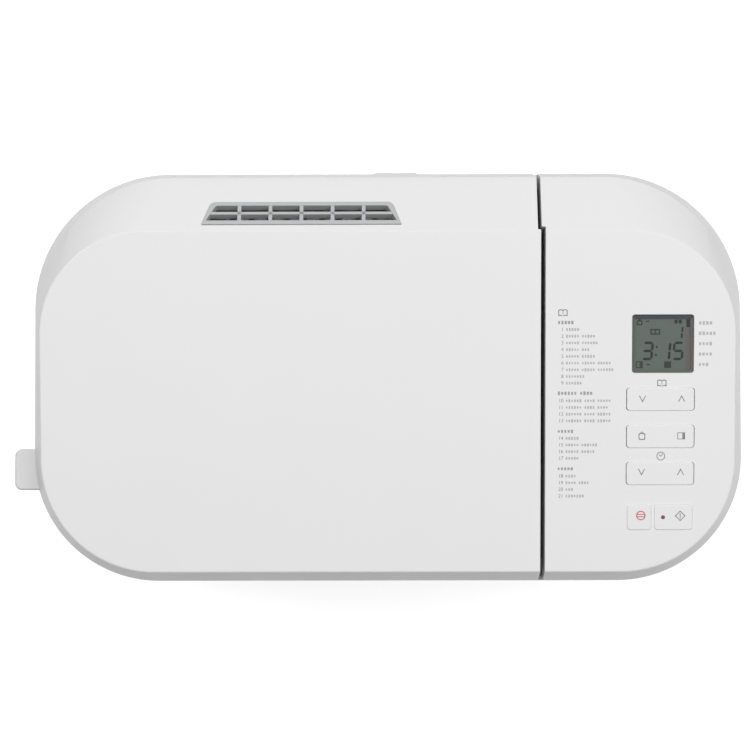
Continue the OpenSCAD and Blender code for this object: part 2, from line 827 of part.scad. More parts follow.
module menu_rocker() rocker(rocker_ys[0]);
module size_crust_rocker() rocker(rocker_ys[1]);
module timer_rocker() rocker(rocker_ys[2]);

module rocker_pins() color(steel) place() for (y = rocker_ys)
    on_face(key_x, y, pivot_depth)
        rotate([90, 0, 0]) cylinder(r = rocker_pin_r, h = 2 * (web_hw + key_play + lug_t), center = true);

// A push key: cap, flange behind the cover and a guided stem
module push_key(w) {
    translate([0, 0, -key_depth]) linear_extrude(key_depth + key_proud)
        slot_rect(w / 2, key_h / 2, key_corner);
    translate([0, 0, -key_depth - key_flange]) linear_extrude(key_flange)
        slot_rect(w / 2 + key_flange_out, key_h / 2 + key_flange_out, key_corner);
    translate([0, 0, -stem_end]) cylinder(r = stem_r, h = stem_end - key_depth);
}

module stop_button() color(white) place() on_face(stop_x, key_y, 0) push_key(stop_w);

module start_button() color(white) place() difference() {
    on_face(start_x, key_y, 0) push_key(start_w);
    on_face(lamp_x, key_y, 8) cylinder(r = lamp_r + gap, h = 12);
}

module start_lamp() color([0.9, 0.1, 0.1]) place() {
    on_face(lamp_x, key_y, board_depth) cylinder(r = lamp_r, h = board_depth + key_proud - 0.1);
    on_face(lamp_x, key_y, board_depth) cylinder(r = 1.7, h = 4);
}

module control_board() color([0.1, 0.4, 0.25]) place() difference() {
    on_face(board_mid[0], board_mid[1], board_depth + board_t)
        linear_extrude(board_t) slot_rect(board_size[0] / 2, board_size[1] / 2, board_r);
    for (p = studs)
        on_face(p[0], p[1], board_depth + board_t + 1) cylinder(r = board_screw_r + gap, h = 4);
}

module tact_switch() {
    linear_extrude(board_depth - switch_top) square(switch_w, center = true);
    cylinder(r = plunger_r, h = board_depth - switch_top + plunger_up);
}

module tact_switches() color(dark) place() {
    for (y = rocker_ys, s = [-1, 1])
        on_face(key_x + s * rib_x, y, board_depth) tact_switch();
    for (x = [stop_x, start_x])
        on_face(x, key_y, board_depth) tact_switch();
}

module board_screw(len) {
    cylinder(r = board_screw_r, h = len);
    translate([0, 0, -board_head_t]) cylinder(r = board_head_r, h = board_head_t);
}

module board_screws() color(steel) place() {
    for (p = studs)
        on_face(p[0], p[1], board_depth + board_t) board_screw(board_screw_len);
    for (p = power_screw_pts)
        translate([p[0], power_y, p[1]]) rotate([-90, 0, 0]) board_screw(power_screw_len);
}

// Unit vector across a path at its point i
function across(path, i) =
    let (a = path[max(i - 1, 0)], b = path[i], c = path[min(i + 1, len(path) - 1)],
         along = (b - a) / max(norm(b - a), eps) + (c - b) / max(norm(c - b), eps))
        [-along[1], along[0]] / norm(along);

// A strip of thickness t along a path
module strip(path, t)
    polygon(concat(
        [for (i = [0:len(path) - 1]) path[i] + t / 2 * across(path, i)],
        [for (i = [len(path) - 1:-1:0]) path[i] - t / 2 * across(path, i)]
    ));

module ribbon_cable() color([0.6, 0.6, 0.62]) place() {
    start_y = board_mid[1] + board_size[1] / 2 * cos(face_slope) + board_depth * sin(face_slope);
    start_z = face_z(board_mid[1] + board_size[1] / 2) - board_depth - board_t / 2;
    translate([ribbon_x - ribbon_w / 2, 0, 0]) rotate([90, 0, 90]) linear_extrude(ribbon_w)
        strip([
            [start_y + 2 * gap, start_z], [start_y + 12, start_z - 6], [start_y + 22, start_z - 30],
            [power_y - 6, part_z - 56], [power_y - 4, power_z[1] + 6], [power_y - 1, power_z[1] - 8]
        ], ribbon_t);
}

module power_board() color([0.1, 0.4, 0.25]) place() {
    w = power_x[1] - power_x[0];
    h = power_z[1] - power_z[0];
    difference() {
        translate([power_x[0], power_y, power_z[0]]) cube([w, power_t, h]);
        for (p = power_screw_pts)
            translate([p[0], power_y - 1, p[1]])
                rotate([-90, 0, 0]) cylinder(r = board_screw_r + gap, h = power_t + 2);
    }
    translate([power_x[0] + 8, power_y - transformer[1], power_z[0] + 50]) cube(transformer);
    translate([power_x[0] + 50, power_y - relay[1], power_z[0] + 50]) cube(relay);
    translate([power_x[0] + 22, power_y - 12, power_z[0] + 18])
        rotate([-90, 0, 0]) cylinder(r = smoothing_r, h = 12);
    translate([power_x[0] + 50, power_y - terminals[1], power_z[0] + 14]) cube(terminals);
}

// ---------- lid ----------

module hinge_barrel(w, r) translate([0, hinge_y, hinge_z]) x_rod(r, -w / 2, w / 2);

module lid_barrels(r)
    for (x = hinge_xs, s = [-1, 1])
        translate([x + s * (barrel_w + 2 * hinge_play + lid_barrel_w) / 2, 0, 0])
            hinge_barrel(lid_barrel_w, r);

module vent_plan(g)
    polygon([
        [g - vent_w / 2, vent_off + g], [vent_w / 2 - g, vent_off + g],
        [vent_top_w / 2 - g, vent_off + vent_len - g], [g - vent_top_w / 2, vent_off + vent_len - g]
    ]);

module grip_section(g)
    translate([-half_w - tab_reach - g, tab_y - tab_len / 2 - g, grip_z - g])
        cube([tab_reach + grip_in + g, tab_len + 2 * g, tab_t + 2 * g]);

module lid_shell() color(white) place() difference() {
    union() {
        difference() {
            intersection() {
                top_form(0, part_z);
                translate([0, 0, part_z - 1]) linear_extrude(body_h) lid_side(0);
            }
            intersection() {
                top_form(wall, part_z - 5);
                translate([0, 0, part_z - 6]) linear_extrude(body_h) lid_side(wall);
            }
        }
        for (p = lid_posts)
            translate([p[0], p[1], dome_z + lining_t])
                cylinder(r = post_r, h = face_z(p[1]) - wall / 2 - dome_z - lining_t);
        lid_barrels(hinge_r);
    }
    // rear edge rounded about the hinge axis
    difference() {
        translate([-half_w, hinge_y, part_z - 1]) cube([half_w + seam_x, half_d, hinge_r + 1]);
        translate([0, hinge_y, hinge_z]) x_rod(hinge_r, -half_w - 1, half_w);
    }
    for (x = hinge_xs)
        translate([x - barrel_w / 2 - hinge_play, hinge_y - 2 * hinge_r, part_z - 1])
            cube([barrel_w + 2 * hinge_play, far, 2 * hinge_r + 1.6]);
    for (x = hinge_xs)
        translate([x, hinge_y, hinge_z]) x_rod(hinge_pin_r + running, -hinge_w / 2 - 1, hinge_w / 2 + 1);
    for (p = lid_posts)
        translate([p[0], p[1], dome_z]) pilot(lid_screw_len + 1);
    on_band(vent_x) translate([0, 0, -3 * wall]) linear_extrude(4 * wall) vent_plan(0);
    grip_section(snug);
}

module lid_lining() color(steel) place() difference() {
    union() {
        translate([0, 0, lining_z]) linear_extrude(lining_t) intersection() {
            casing_plan(wall + gap);
            lid_side(wall + gap);
            translate([-far / 2, lining_rear - far]) square(far);
        }
        translate([oven_x, 0, lining_z]) linear_extrude(dome_z + lining_t - lining_z)
            slot_rect(oven_hw - dome_in, oven_hd - dome_in - 1, dome_r);
    }
    translate([oven_x, 0, lining_z - 1]) linear_extrude(lining_rise + 1)
        slot_rect(oven_hw - dome_in - lining_t, oven_hd - dome_in - 1 - lining_t, dome_r - lining_t);
    for (p = lid_posts)
        translate([p[0], p[1], dome_z - 1]) cylinder(r = screw_r + gap, h = lining_t + 2);
    for (i = [0:lining_vents - 1])
        translate([vent_x + (i - (lining_vents - 1) / 2) * lining_vent_pitch,
                   ridge_y + duct_d / 2, lining_z - 1])
            linear_extrude(lining_t + 2) slot_rect(slot_hw, 5, slot_hw - eps);
}

module seal_plan(g) slot_rect(oven_hw + g, oven_hd + g, oven_r + g);

module lid_seal() color([0.75, 0.75, 0.74]) place()
    translate([oven_x, 0, deck_top + gap + 0.1]) linear_extrude(lining_z - deck_top - gap - 0.1)
        difference() {
            seal_plan(seal_in + seal_w);
            seal_plan(seal_in);
        }

module lid_screws() color(steel) place() for (p = lid_posts)
    translate([p[0], p[1], dome_z]) screw(lid_screw_len);

module steam_vent() color([0.72, 0.73, 0.73]) place() on_band(vent_x) translate([0, 0, -vent_t])
    difference() {
        linear_extrude(vent_t) vent_plan(gap / 2);
        translate([0, 0, -1]) linear_extrude(vent_t + 2) difference() {
            vent_plan(vent_frame);
            for (i = [1:vent_ribs])
                translate([(i - (vent_ribs + 1) / 2) * vent_pitch - vent_rib_t / 2, 0])
                    square([vent_rib_t, vent_off + vent_len]);
            translate([-vent_w / 2, vent_off + (vent_len - vent_bar_t) / 2]) square([vent_w, vent_bar_t]);
        }
    }

module vent_duct() color(pale) place() difference() {
    hw = vent_w / 2 + 1;
    z0 = lining_z + lining_t;
    translate([vent_x - hw, ridge_y, z0]) cube([2 * hw, duct_d, body_h - z0]);
    translate([vent_x - hw + duct_wall, ridge_y + duct_wall, z0 - 1])
        cube([2 * (hw - duct_wall), duct_d - 2 * duct_wall, body_h]);
    on_band(vent_x) translate([-far / 2, -far / 2, -vent_t - gap]) cube([far, far, far]);
}

module lid_grip() color(pale) place() {
    x0 = -half_w - tab_reach;
    translate([0, 0, grip_z]) linear_extrude(tab_t) {
        for (s = [-1, 1])
            translate([x0 + grip_r, tab_y + s * (tab_len / 2 - grip_r)]) circle(grip_r);
        translate([x0, tab_y - tab_len / 2 + grip_r]) square([2 * grip_r, tab_len - 2 * grip_r]);
        translate([x0 + grip_r, tab_y - tab_len / 2])
            square([tab_reach + grip_in + grip_stop - grip_r, tab_len]);
    }
    translate([-half_w + grip_in, tab_y - tab_len / 2 - grip_stop, grip_z - 1])
        cube([grip_stop, tab_len + 2 * grip_stop, tab_t + 2]);
}

module hinge_brackets() color(steel) place() difference() {
    union() for (x = hinge_xs) translate([x, 0, 0]) {
        hinge_barrel(barrel_w, hinge_r);
        translate([-barrel_w / 2, half_d - wall - leaf_t, part_z - 6])
            cube([barrel_w, leaf_t, 6 + hinge_r]);
        translate([-leaf_w / 2, half_d - wall - leaf_t, part_z - 6 - leaf_h])
            cube([leaf_w, leaf_t, leaf_h]);
    }
    for (x = hinge_xs)
        translate([x, hinge_y, hinge_z]) x_rod(hinge_pin_r + snug, -barrel_w, barrel_w);
}

module hinge_pins() color(steel) place() for (x = hinge_xs)
    translate([x, hinge_y, hinge_z]) x_rod(hinge_pin_r, -hinge_w / 2, hinge_w / 2);

// ---------- oven ----------

module at_oven(z) translate([oven_x, 0, z]) children();

module oven_box() color(steel) place() difference() {
    union() {
        at_oven(oven_z) linear_extrude(flange_z + sheet - oven_z)
            slot_rect(oven_hw + sheet, oven_hd + sheet, oven_r + sheet);
        at_oven(flange_z) linear_extrude(sheet)
            slot_rect(oven_hw + flange_w, oven_hd + flange_w, oven_r + flange_w);
    }
    at_oven(seat_z) linear_extrude(far) slot_rect(oven_hw, oven_hd, oven_r);
    at_oven(oven_z - 1) cylinder(r = drive_hole_r, h = 4);
    for (p = oven_posts)
        translate([p[0], p[1], oven_z - 1]) cylinder(r = screw_r + gap, h = 4);
    for (s = [-1, 1])
        at_oven(heater_z) translate([0, s * heater_leg, 0])
            x_rod(heater_r + gap, oven_hw - 5, oven_hw + 10);
    at_oven(sensor_z) translate([0, sensor_y, 0]) x_rod(sensor_r + snug, oven_hw - 5, oven_hw + 10);
}

module oven_deck() color(pale) place() difference() {
    translate([0, 0, deck_top - deck_t]) linear_extrude(deck_t) difference() {
        intersection() {
            casing_plan(wall + gap);
            translate([deck_right - far, -far / 2]) square(far);
        }
        translate([oven_x, 0]) slot_rect(oven_hw, oven_hd, oven_r);
    }
    for (x = hinge_xs)
        translate([x - leaf_w / 2 - gap, half_d - wall - leaf_t - gap, deck_top - deck_t - 1])
            cube([leaf_w + 2 * gap, far, deck_t + 2]);
    for (p = cover_posts)
        translate([p[0], p[1], deck_top - deck_t - 1]) cylinder(r = screw_r + gap, h = deck_t + 2);
}

module heater() color([0.25, 0.24, 0.23]) place() at_oven(heater_z) {
    r = heater_bend;
    leg_r = heater_leg_bend;
    for (sy = [-1, 1]) {
        for (sx = [-1, 1])
            translate([sx * (heater_hw - r), sy * (heater_hd - r), 0])
                rotate([0, 0, sx * sy > 0 ? (sx > 0 ? 0 : 180) : (sx > 0 ? 270 : 90)])
                    tube_bend(r, heater_r);
        translate([0, sy * heater_hd, 0]) x_rod(heater_r, r - heater_hw, heater_hw - r);
        translate([heater_hw, sy * (heater_leg + leg_r), 0]) rotate([-90 * sy, 0, 0])
            cylinder(r = heater_r, h = heater_hd - r - heater_leg - leg_r, $fn = 32);
        translate([heater_hw + leg_r, sy * (heater_leg + leg_r), 0])
            rotate([0, 0, sy > 0 ? 180 : 90]) tube_bend(leg_r, heater_r);
        translate([0, sy * heater_leg, 0]) x_rod(heater_r, heater_hw + leg_r, oven_hw + sheet + heater_out);
    }
    translate([-heater_hw, r - heater_hd, 0]) rotate([-90, 0, 0])
        cylinder(r = heater_r, h = 2 * (heater_hd - r), $fn = 32);
}

module heater_clips() color(steel) place() at_oven(heater_z) {
    for (sx = [-1, 1], s = [-1, 1]) let (x = sx * heater_hw / 2)
        difference() {
            translate([x - clip_w / 2, s > 0 ? heater_hd - clip_h / 2 : -oven_hd, -clip_h / 2])
                cube([clip_w, oven_hd - heater_hd + clip_h / 2, clip_h]);
            translate([x, s * heater_hd, 0]) x_rod(heater_r + snug, -clip_w, clip_w);
        }
}

module heater_insulators() color([0.9, 0.88, 0.82]) place() for (s = [-1, 1])
    at_oven(heater_z) translate([0, s * heater_leg, 0]) difference() {
        x_rod(insulator_r, oven_hw + sheet, oven_hw + sheet + shield_gap);
        x_rod(heater_r + snug, oven_hw, oven_hw + 20);
    }

module temperature_sensor() color(steel) place() at_oven(sensor_z) translate([0, sensor_y, 0]) {
    x_rod(sensor_r, oven_hw - 6, oven_hw + sheet + 6);
    x_rod(sensor_r + 3, oven_hw + sheet, oven_hw + sheet + 2);
}

module pan_seat() color(steel) place() difference() {
    at_oven(seat_z) {
        cylinder(r = seat_r, h = seat_t);
        cylinder(r = lock_r + seat_play + seat_collar_t, h = pan_z - flange_under - seat_z);
    }
    at_oven(seat_z + seat_t) cylinder(r = lock_r + seat_play, h = 20);
    at_oven(seat_z - 1) cylinder(r = drive_hole_r, h = 10);
    for (p = oven_posts)
        translate([p[0], p[1], seat_z - 1]) cylinder(r = screw_r + gap, h = 10);
}

module heat_shield() color(steel) place() difference() {
    translate([shield_x, -oven_hd, chassis_top]) {
        cube([sheet, 2 * oven_hd, flange_z - 6 - chassis_top]);
        cube([shield_foot, 2 * oven_hd, sheet]);
    }
    for (s = [-1, 1])
        at_oven(heater_z) translate([0, s * heater_leg, 0])
            x_rod(heater_r + gap, oven_hw + 5, oven_hw + 15);
    for (p = shield_screw_pts)
        translate([p[0], p[1], chassis_top - 1]) cylinder(r = screw_r + gap, h = sheet + 2);
}

// ---------- pan ----------

module pan_plan(z, g)
    slot_rect(pan_w / 2 - pan_taper * (1 - z / pan_h) - g, pan_d / 2 - pan_taper * (1 - z / pan_h) - g,
              pan_r - g, $fn = hull_fn);

module pan_form(z0, z1, g)
    hull() {
        at_oven(pan_z + z0) linear_extrude(eps) pan_plan(z0, g);
        at_oven(pan_z + z1 - eps) linear_extrude(eps) pan_plan(z1, g);
    }

module bread_pan() color([0.3, 0.3, 0.31]) place() difference() {
    union() {
        pan_form(0, pan_h, 0);
        at_oven(pan_rim_z - rim_roll) linear_extrude(rim_roll)
            slot_rect(pan_w / 2 + rim_roll, pan_d / 2 + rim_roll, pan_r + rim_roll);
        for (s = [-1, 1])
            at_oven(bail_z - ear_down)
                translate([s > 0 ? pan_w / 2 - 1.2 : -pan_w / 2 - rim_roll, -ear_w / 2, 0])
                    cube([rim_roll + 1.2, ear_w, pan_rim_z - bail_z + ear_down]);
    }
    pan_form(pan_wall, pan_h + 2, pan_wall);
    at_oven(pan_z - 1) cylinder(r = bush_r + snug, h = 5);
    at_oven(bail_z) x_rod(bail_pin_r + snug, -pan_w, pan_w);
}

module pan_lock_ring() color(steel) place() difference() {
    at_oven(pan_z - lock_h) {
        cylinder(r = lock_r, h = lock_h);
        translate([0, 0, lock_h - lock_lip_t]) cylinder(r = lock_r + lock_lip, h = lock_lip_t);
    }
    at_oven(pan_z - lock_h - 1) cylinder(r = lock_r - lock_wall, h = lock_h + 2);
}

module pan_bearing() color([0.72, 0.55, 0.3]) place() difference() {
    at_oven(pan_z) {
        translate([0, 0, -flange_under]) cylinder(r = bush_r + 2, h = flange_under);
        cylinder(r = bush_r, h = pan_wall + bearing_up);
    }
    at_oven(pan_z - 10) cylinder(r = shaft_r + running, h = 40);
}

module shaft_seal() color(dark) place() at_oven(pan_z + pan_wall + bearing_up) difference() {
    cylinder(r = bush_r, h = seal_t);
    translate([0, 0, -1]) cylinder(r = shaft_r + running, h = seal_t + 2);
}

module bail_pins() color(steel) place() for (s = [-1, 1])
    at_oven(bail_z) mirror([s > 0 ? 0 : 1, 0, 0]) {
        x_rod(bail_pin_r, pan_w / 2 - 4, bail_x + bail_r + 1.8);
        x_rod(bail_pin_r + pin_head, pan_w / 2 - 4, pan_w / 2 - 4 + pin_head_t);
        x_rod(bail_pin_r + pin_head, bail_x + bail_r + gap, bail_x + bail_r + 1.8);
    }

module pan_bail() color(steel) place() at_oven(bail_z) rotate([bail_droop, 0, 0]) difference() {
    union() {
        for (s = [-1, 1]) {
            x_rod(bail_pin_r + eye_wall, s * bail_x - eye_t / 2, s * bail_x + eye_t / 2);
            translate([s * bail_x, -arm_y, 0]) rotate([90, 0, 0])
                cylinder(r = bail_r, h = bail_len - bail_bend - arm_y);
            translate([s * (bail_x - bail_bend), bail_bend - bail_len, 0])
                rotate([0, 0, s > 0 ? 270 : 180]) tube_bend(bail_bend, bail_r);
        }
        translate([0, -bail_len, 0]) x_rod(bail_r, bail_bend - bail_x, bail_x - bail_bend);
    }
    x_rod(bail_pin_r + running, -bail_x - 10, bail_x + 10);
}

module pan_shaft() color(steel) place() at_oven(0) {
    translate([0, 0, dog_z]) cylinder(r = shaft_r, h = blade_z + shaft_in_hub - dog_z);
    translate([0, 0, dog_z]) cylinder(r = shaft_r + 2.5, h = dog_t);
    translate([-dog_w / 2, -dog_reach, dog_z]) cube([dog_w, 2 * dog_reach, dog_t]);
}

module shaft_clip() color(steel) place() at_oven(pan_z - flange_under - 0.3 - 1) difference() {
    cylinder(r = shaft_r + 2.5, h = 1);
    translate([0, 0, -1]) cylinder(r = shaft_r + snug, h = 3);
    translate([0, -shaft_r * 0.6, -1]) cube([far, shaft_r * 1.2, 3]);
}

module kneading_blade() color([0.3, 0.3, 0.31]) place() at_oven(blade_z) difference() {
    union() {
        cylinder(r = hub_r, h = hub_h);
        rotate([90, 0, blade_turn]) translate([0, 0, -blade_t / 2]) linear_extrude(blade_t)
            polygon([
                [0, 0], [blade_reach, 0], [blade_reach, blade_h * 0.25],
                [blade_reach * 0.8, blade_h * 0.62], [blade_reach * 0.45, blade_h], [0, blade_h]
            ]);
    }
    translate([0, 0, -1]) cylinder(r = shaft_r + running, h = hub_h - 1);
}

// ---------- drive ----------

module toothed(r, teeth, h)
    linear_extrude(h) polygon([
        for (i = [0:teeth - 1], k = [0:3])
            let (a = (i + [-0.35, -0.15, 0.15, 0.35][k]) * 360 / teeth,
                 tip = [r - tooth_h, r, r, r - tooth_h][k])
                tip * [cos(a), sin(a)]
    ]);

module drive_shaft() color(steel) place() at_oven(0) {
    dog_base = seat_z + seat_t + 0.3;
    translate([0, 0, pulley_z - 4]) cylinder(r = shaft_r, h = dog_z - 1 - pulley_z + 4);
    translate([0, 0, dog_base]) cylinder(r = coupling_r, h = dog_z - 2 * gap - dog_base);
    for (s = [-1, 1])
        translate([s > 0 ? coupling_r - 1 : 1 - dog_reach, -dog_w / 2, dog_base])
            cube([dog_reach - coupling_r, dog_w, dog_z + dog_t - dog_base]);
}

module drive_bushes() color([0.72, 0.55, 0.3]) place() for (z = [tube_z, tube_top - bush_h])
    at_oven(z) difference() {
        cylinder(r = bush_r, h = bush_h);
        translate([0, 0, -1]) cylinder(r = shaft_r + running, h = bush_h + 2);
    }

module drive_pulley() color(dark) place() at_oven(pulley_z) difference() {
    union() {
        toothed(drive_r, drive_teeth, pulley_h);
        for (z = [-flange_t, pulley_h])
            translate([0, 0, z]) cylinder(r = drive_r + flange_up, h = flange_t);
    }
    difference() {
        translate([0, 0, -5]) cylinder(r = drive_r - pulley_rim, h = pulley_h + 10);
        translate([0, 0, -6]) cylinder(r = pulley_hub, h = pulley_h + 12);
        translate([0, 0, (pulley_h - pulley_web) / 2]) cylinder(r = drive_r, h = pulley_web);
    }
    translate([0, 0, -6]) cylinder(r = shaft_r + snug, h = pulley_h + 12);
    for (i = [0:5])
        rotate(60 * i) translate([(drive_r + 6) / 2, 0, -1]) cylinder(r = web_hole_r, h = pulley_h + 2);
}

module motor_pulley() color(steel) place() translate([motor_x, 0, pulley_z]) difference() {
    union() {
        toothed(motor_pulley_r, motor_teeth, pulley_h);
        for (z = [-flange_t, pulley_h])
            translate([0, 0, z]) cylinder(r = motor_pulley_r + flange_up, h = flange_t);
    }
    translate([0, 0, -2]) cylinder(r = motor_shaft_r + snug, h = pulley_h + 4);
}

// Line round both pulleys, g outside the belt's inner face
module belt_plan(g) {
    r1 = drive_r + belt_play + g;
    r2 = motor_pulley_r + belt_play + g;
    a = acos((r1 - r2) / (motor_x - oven_x));
    polygon(concat(
        [for (k = [0:60]) let (t = a + (360 - 2 * a) * k / 60) [oven_x + r1 * cos(t), r1 * sin(t)]],
        [for (k = [0:24]) let (t = a * (k / 12 - 1)) [motor_x + r2 * cos(t), r2 * sin(t)]]
    ));
}

module drive_belt() color(dark) place()
    translate([0, 0, pulley_z + (pulley_h - belt_w) / 2]) linear_extrude(belt_w) difference() {
        belt_plan(belt_t);
        belt_plan(0);
    }

module chassis() color(steel) place() difference() {
    mid_x = (chassis_x[0] + chassis_x[1]) / 2;
    union() {
        translate([mid_x, 0, chassis_z]) linear_extrude(chassis_t)
            slot_rect((chassis_x[1] - chassis_x[0]) / 2, chassis_hd, 10);
        // upright that carries the power board
        translate([power_x[0], 0, chassis_z])
            cube([power_x[1] - power_x[0], plate_y + plate_t, chassis_t]);
        translate([power_x[0], plate_y, chassis_z])
            cube([power_x[1] - power_x[0], plate_t, power_z[1] - chassis_z]);
        for (p = power_screw_pts)
            translate([p[0], power_y + power_t, p[1]])
                rotate([-90, 0, 0]) cylinder(r = pillar_r, h = pillar_h + plate_t / 2);
        at_oven(tube_z) cylinder(r = tube_r, h = tube_top - tube_z);
        for (p = oven_posts)
            translate([p[0], p[1], chassis_z]) cylinder(r = oven_post_r, h = oven_z - chassis_z);
    }
    at_oven(tube_z - 1) cylinder(r = bush_r + snug, h = tube_top - tube_z + 2);
    for (p = oven_posts)
        translate([p[0], p[1], oven_z - oven_screw_len]) pilot(oven_screw_len + 2);
    for (p = base_posts)
        translate([p[0], p[1], chassis_z - 1]) cylinder(r = screw_r + gap, h = chassis_t + 2);
    for (p = shield_screw_pts)
        translate([p[0], p[1], chassis_z - 1]) pilot(chassis_t + 2);
    translate([motor_x, 0, chassis_z - 1]) cylinder(r = motor_hole_r, h = chassis_t + 2);
    for (p = power_screw_pts)
        translate([p[0], power_y, p[1]])
            rotate([-90, 0, 0]) cylinder(r = board_screw_r + snug, h = 2 * power_screw_len);
}

// End bell of the motor: a cup with a bearing boss, opening upwards
module end_bell() difference() {
    union() {
        cylinder(r = bell_r, h = bell_h);
        linear_extrude(bell_wall) slot_rect(stator_w / 2, stator_w / 2, 6);
    }
    difference() {
        translate([0, 0, bell_wall]) cylinder(r = bell_r - bell_wall, h = bell_h);
        cylinder(r = motor_shaft_r + 5, h = bell_wall + boss_up);
    }
    translate([0, 0, -1]) cylinder(r = motor_shaft_r + running, h = bell_h);
}

module motor_frame() color(pale) place() translate([motor_x, 0, 0]) {
    translate([0, 0, motor_z]) end_bell();
    translate([0, 0, motor_top]) mirror([0, 0, 1]) end_bell();
}

module motor_stator() color(dark) place() translate([motor_x, 0, stator_z])
    linear_extrude(stator_h) difference() {
        slot_rect(stator_w / 2, stator_w / 2, 6);
        circle(rotor_r + 0.5);
    }

module motor_windings() color([0.7, 0.4, 0.2]) place() translate([motor_x, 0, 0])
    for (z = [stator_z - winding_h, stator_top])
        translate([0, 0, z]) linear_extrude(winding_h) difference() {
            circle(bell_r - bell_wall - 0.7);
            circle(rotor_r + 1.5);
        }

module motor_rotor() color(steel) place() translate([motor_x, 0, 0]) {
    translate([0, 0, pulley_z - 2])
        cylinder(r = motor_shaft_r, h = motor_top + fan_up + fan_h + 3 - pulley_z + 2);
    translate([0, 0, stator_z - 1]) cylinder(r = rotor_r, h = stator_h + 2);
    translate([0, 0, motor_top + fan_up]) {
        cylinder(r = fan_hub_r, h = fan_h);
        cylinder(r = fan_r, h = fan_blade_t);
        for (i = [0:fan_blades - 1])
            rotate(360 / fan_blades * i) translate([fan_hub_r - 1, -fan_blade_t / 2, 0])
                cube([fan_r - fan_hub_r + 1, fan_blade_t, fan_h]);
    }
}

module motor_mounts() color(dark) place() for (sx = [-1, 1], sy = [-1, 1])
    translate([motor_x + sx * mount_off, sy * mount_off, chassis_top])
        cylinder(r = mount_r, h = motor_z - chassis_top);

module motor_capacitor() color([0.85, 0.85, 0.83]) place()
    translate([cap_x, cap_y, chassis_top]) {
        cylinder(r = cap_r, h = cap_h);
        for (s = [-1, 1])
            translate([s * 5 - 0.5, -3, cap_h]) cube([1, 6, 7]);
    }

body_shell();
base_plate();
feet();
machine_screws();
cord_housing();
cord_gland();
control_cover();
lcd_window();
lcd_module();
button_carrier();
menu_rocker();
size_crust_rocker();
timer_rocker();
rocker_pins();
stop_button();
start_button();
start_lamp();
control_board();
tact_switches();
board_screws();
ribbon_cable();
power_board();
lid_shell();
lid_lining();
lid_seal();
lid_screws();
steam_vent();
vent_duct();
lid_grip();
hinge_brackets();
hinge_pins();
oven_box();
oven_deck();
heater();
heater_clips();
heater_insulators();
temperature_sensor();
pan_seat();
heat_shield();
bread_pan();
pan_lock_ring();
pan_bearing();
shaft_seal();
bail_pins();
pan_bail();
pan_shaft();
shaft_clip();
kneading_blade();
drive_shaft();
drive_bushes();
drive_pulley();
chassis();
drive_belt();
motor_frame();
motor_stator();
motor_windings();
motor_rotor();
motor_pulley();
motor_mounts();
motor_capacitor();
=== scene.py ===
import json
import math

import bmesh
import bpy
from mathutils import Matrix, Vector


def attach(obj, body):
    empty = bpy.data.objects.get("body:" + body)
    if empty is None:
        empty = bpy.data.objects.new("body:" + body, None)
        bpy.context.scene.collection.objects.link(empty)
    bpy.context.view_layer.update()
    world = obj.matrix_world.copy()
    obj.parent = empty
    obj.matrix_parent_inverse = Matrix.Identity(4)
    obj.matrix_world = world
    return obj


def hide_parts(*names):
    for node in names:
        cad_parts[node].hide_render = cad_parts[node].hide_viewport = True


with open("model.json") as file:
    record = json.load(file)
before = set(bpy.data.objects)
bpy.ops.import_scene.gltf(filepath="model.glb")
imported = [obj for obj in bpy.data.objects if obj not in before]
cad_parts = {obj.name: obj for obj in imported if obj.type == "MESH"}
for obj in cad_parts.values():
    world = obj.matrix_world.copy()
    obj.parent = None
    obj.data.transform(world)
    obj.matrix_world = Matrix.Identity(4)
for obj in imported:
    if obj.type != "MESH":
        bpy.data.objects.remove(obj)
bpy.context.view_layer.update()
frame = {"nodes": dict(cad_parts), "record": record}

nodes = frame["nodes"]
scene = bpy.context.scene

# Lengths below are in millimetres from the casing's centre; toRow turns them into metres
# about the middle of the whole footprint.
rowShift = Vector((5.0, -7.75, 0.0))

casing = {
    "halfWidth": 198.5, "halfDepth": 114.5, "bottom": 5.5, "joint": 306.0, "lidGap": 0.6,
    "frontCorner": 70.0, "rearCorner": 76.0, "wall": 2.6, "arcSteps": 40, "fitSteps": 24,
}
top = {
    "height": 362.0, "slope": 8.0, "side": 7.5, "front": 5.0, "band": 31.0,
    "frontCorner": 62.0, "rearCorner": 57.0, "edge": 1.3,
    "rimIn": 5.5, "rimSide": 5.5, "rimDrop": 19.0, "rimCorner": 75.0, "rimSoft": 3.0,
    "bulge": ((0, 0), (3, 0.05), (6.5, 0.34), (10, 0.92)),    # height above the joint, inset
}
seam = {"x": 85.3, "gap": 2.5, "rearGap": 2.0, "jog": 1.9, "jogPlay": 1.5}
oven = {"x": -60.0, "halfX": 105.0, "halfY": 81.0, "panZ": 98.6, "bailZ": 230.6}
far, above = 300, 400      # past the casing's sides, and over its top
mergeReach = 2e-6          # metres

halfW = casing["halfWidth"]
halfD = casing["halfDepth"]
slopeAngle = math.radians(top["slope"])
tanSlope = math.tan(slopeAngle)
rimY = halfD - top["rimIn"]
ridgeY = rimY - top["band"]
rimZ = top["height"] + top["band"] * tanSlope - top["rimDrop"]
bandAngle = math.atan2(top["height"] - rimZ, top["band"])


def faceZ(y):
    return top["height"] - (ridgeY - y) * tanSlope


def toRow(p):
    return (Vector(p) + rowShift) / 1000


def newMesh(verts, faces, place=None):
    mesh = bpy.data.meshes.new("form")
    mesh.from_pydata([toRow(place @ Vector(v) if place else v) for v in verts], [], faces)
    mesh.update()
    return mesh


def newObject(mesh, name="form"):
    obj = bpy.data.objects.new(name, mesh)
    scene.collection.objects.link(obj)
    return obj


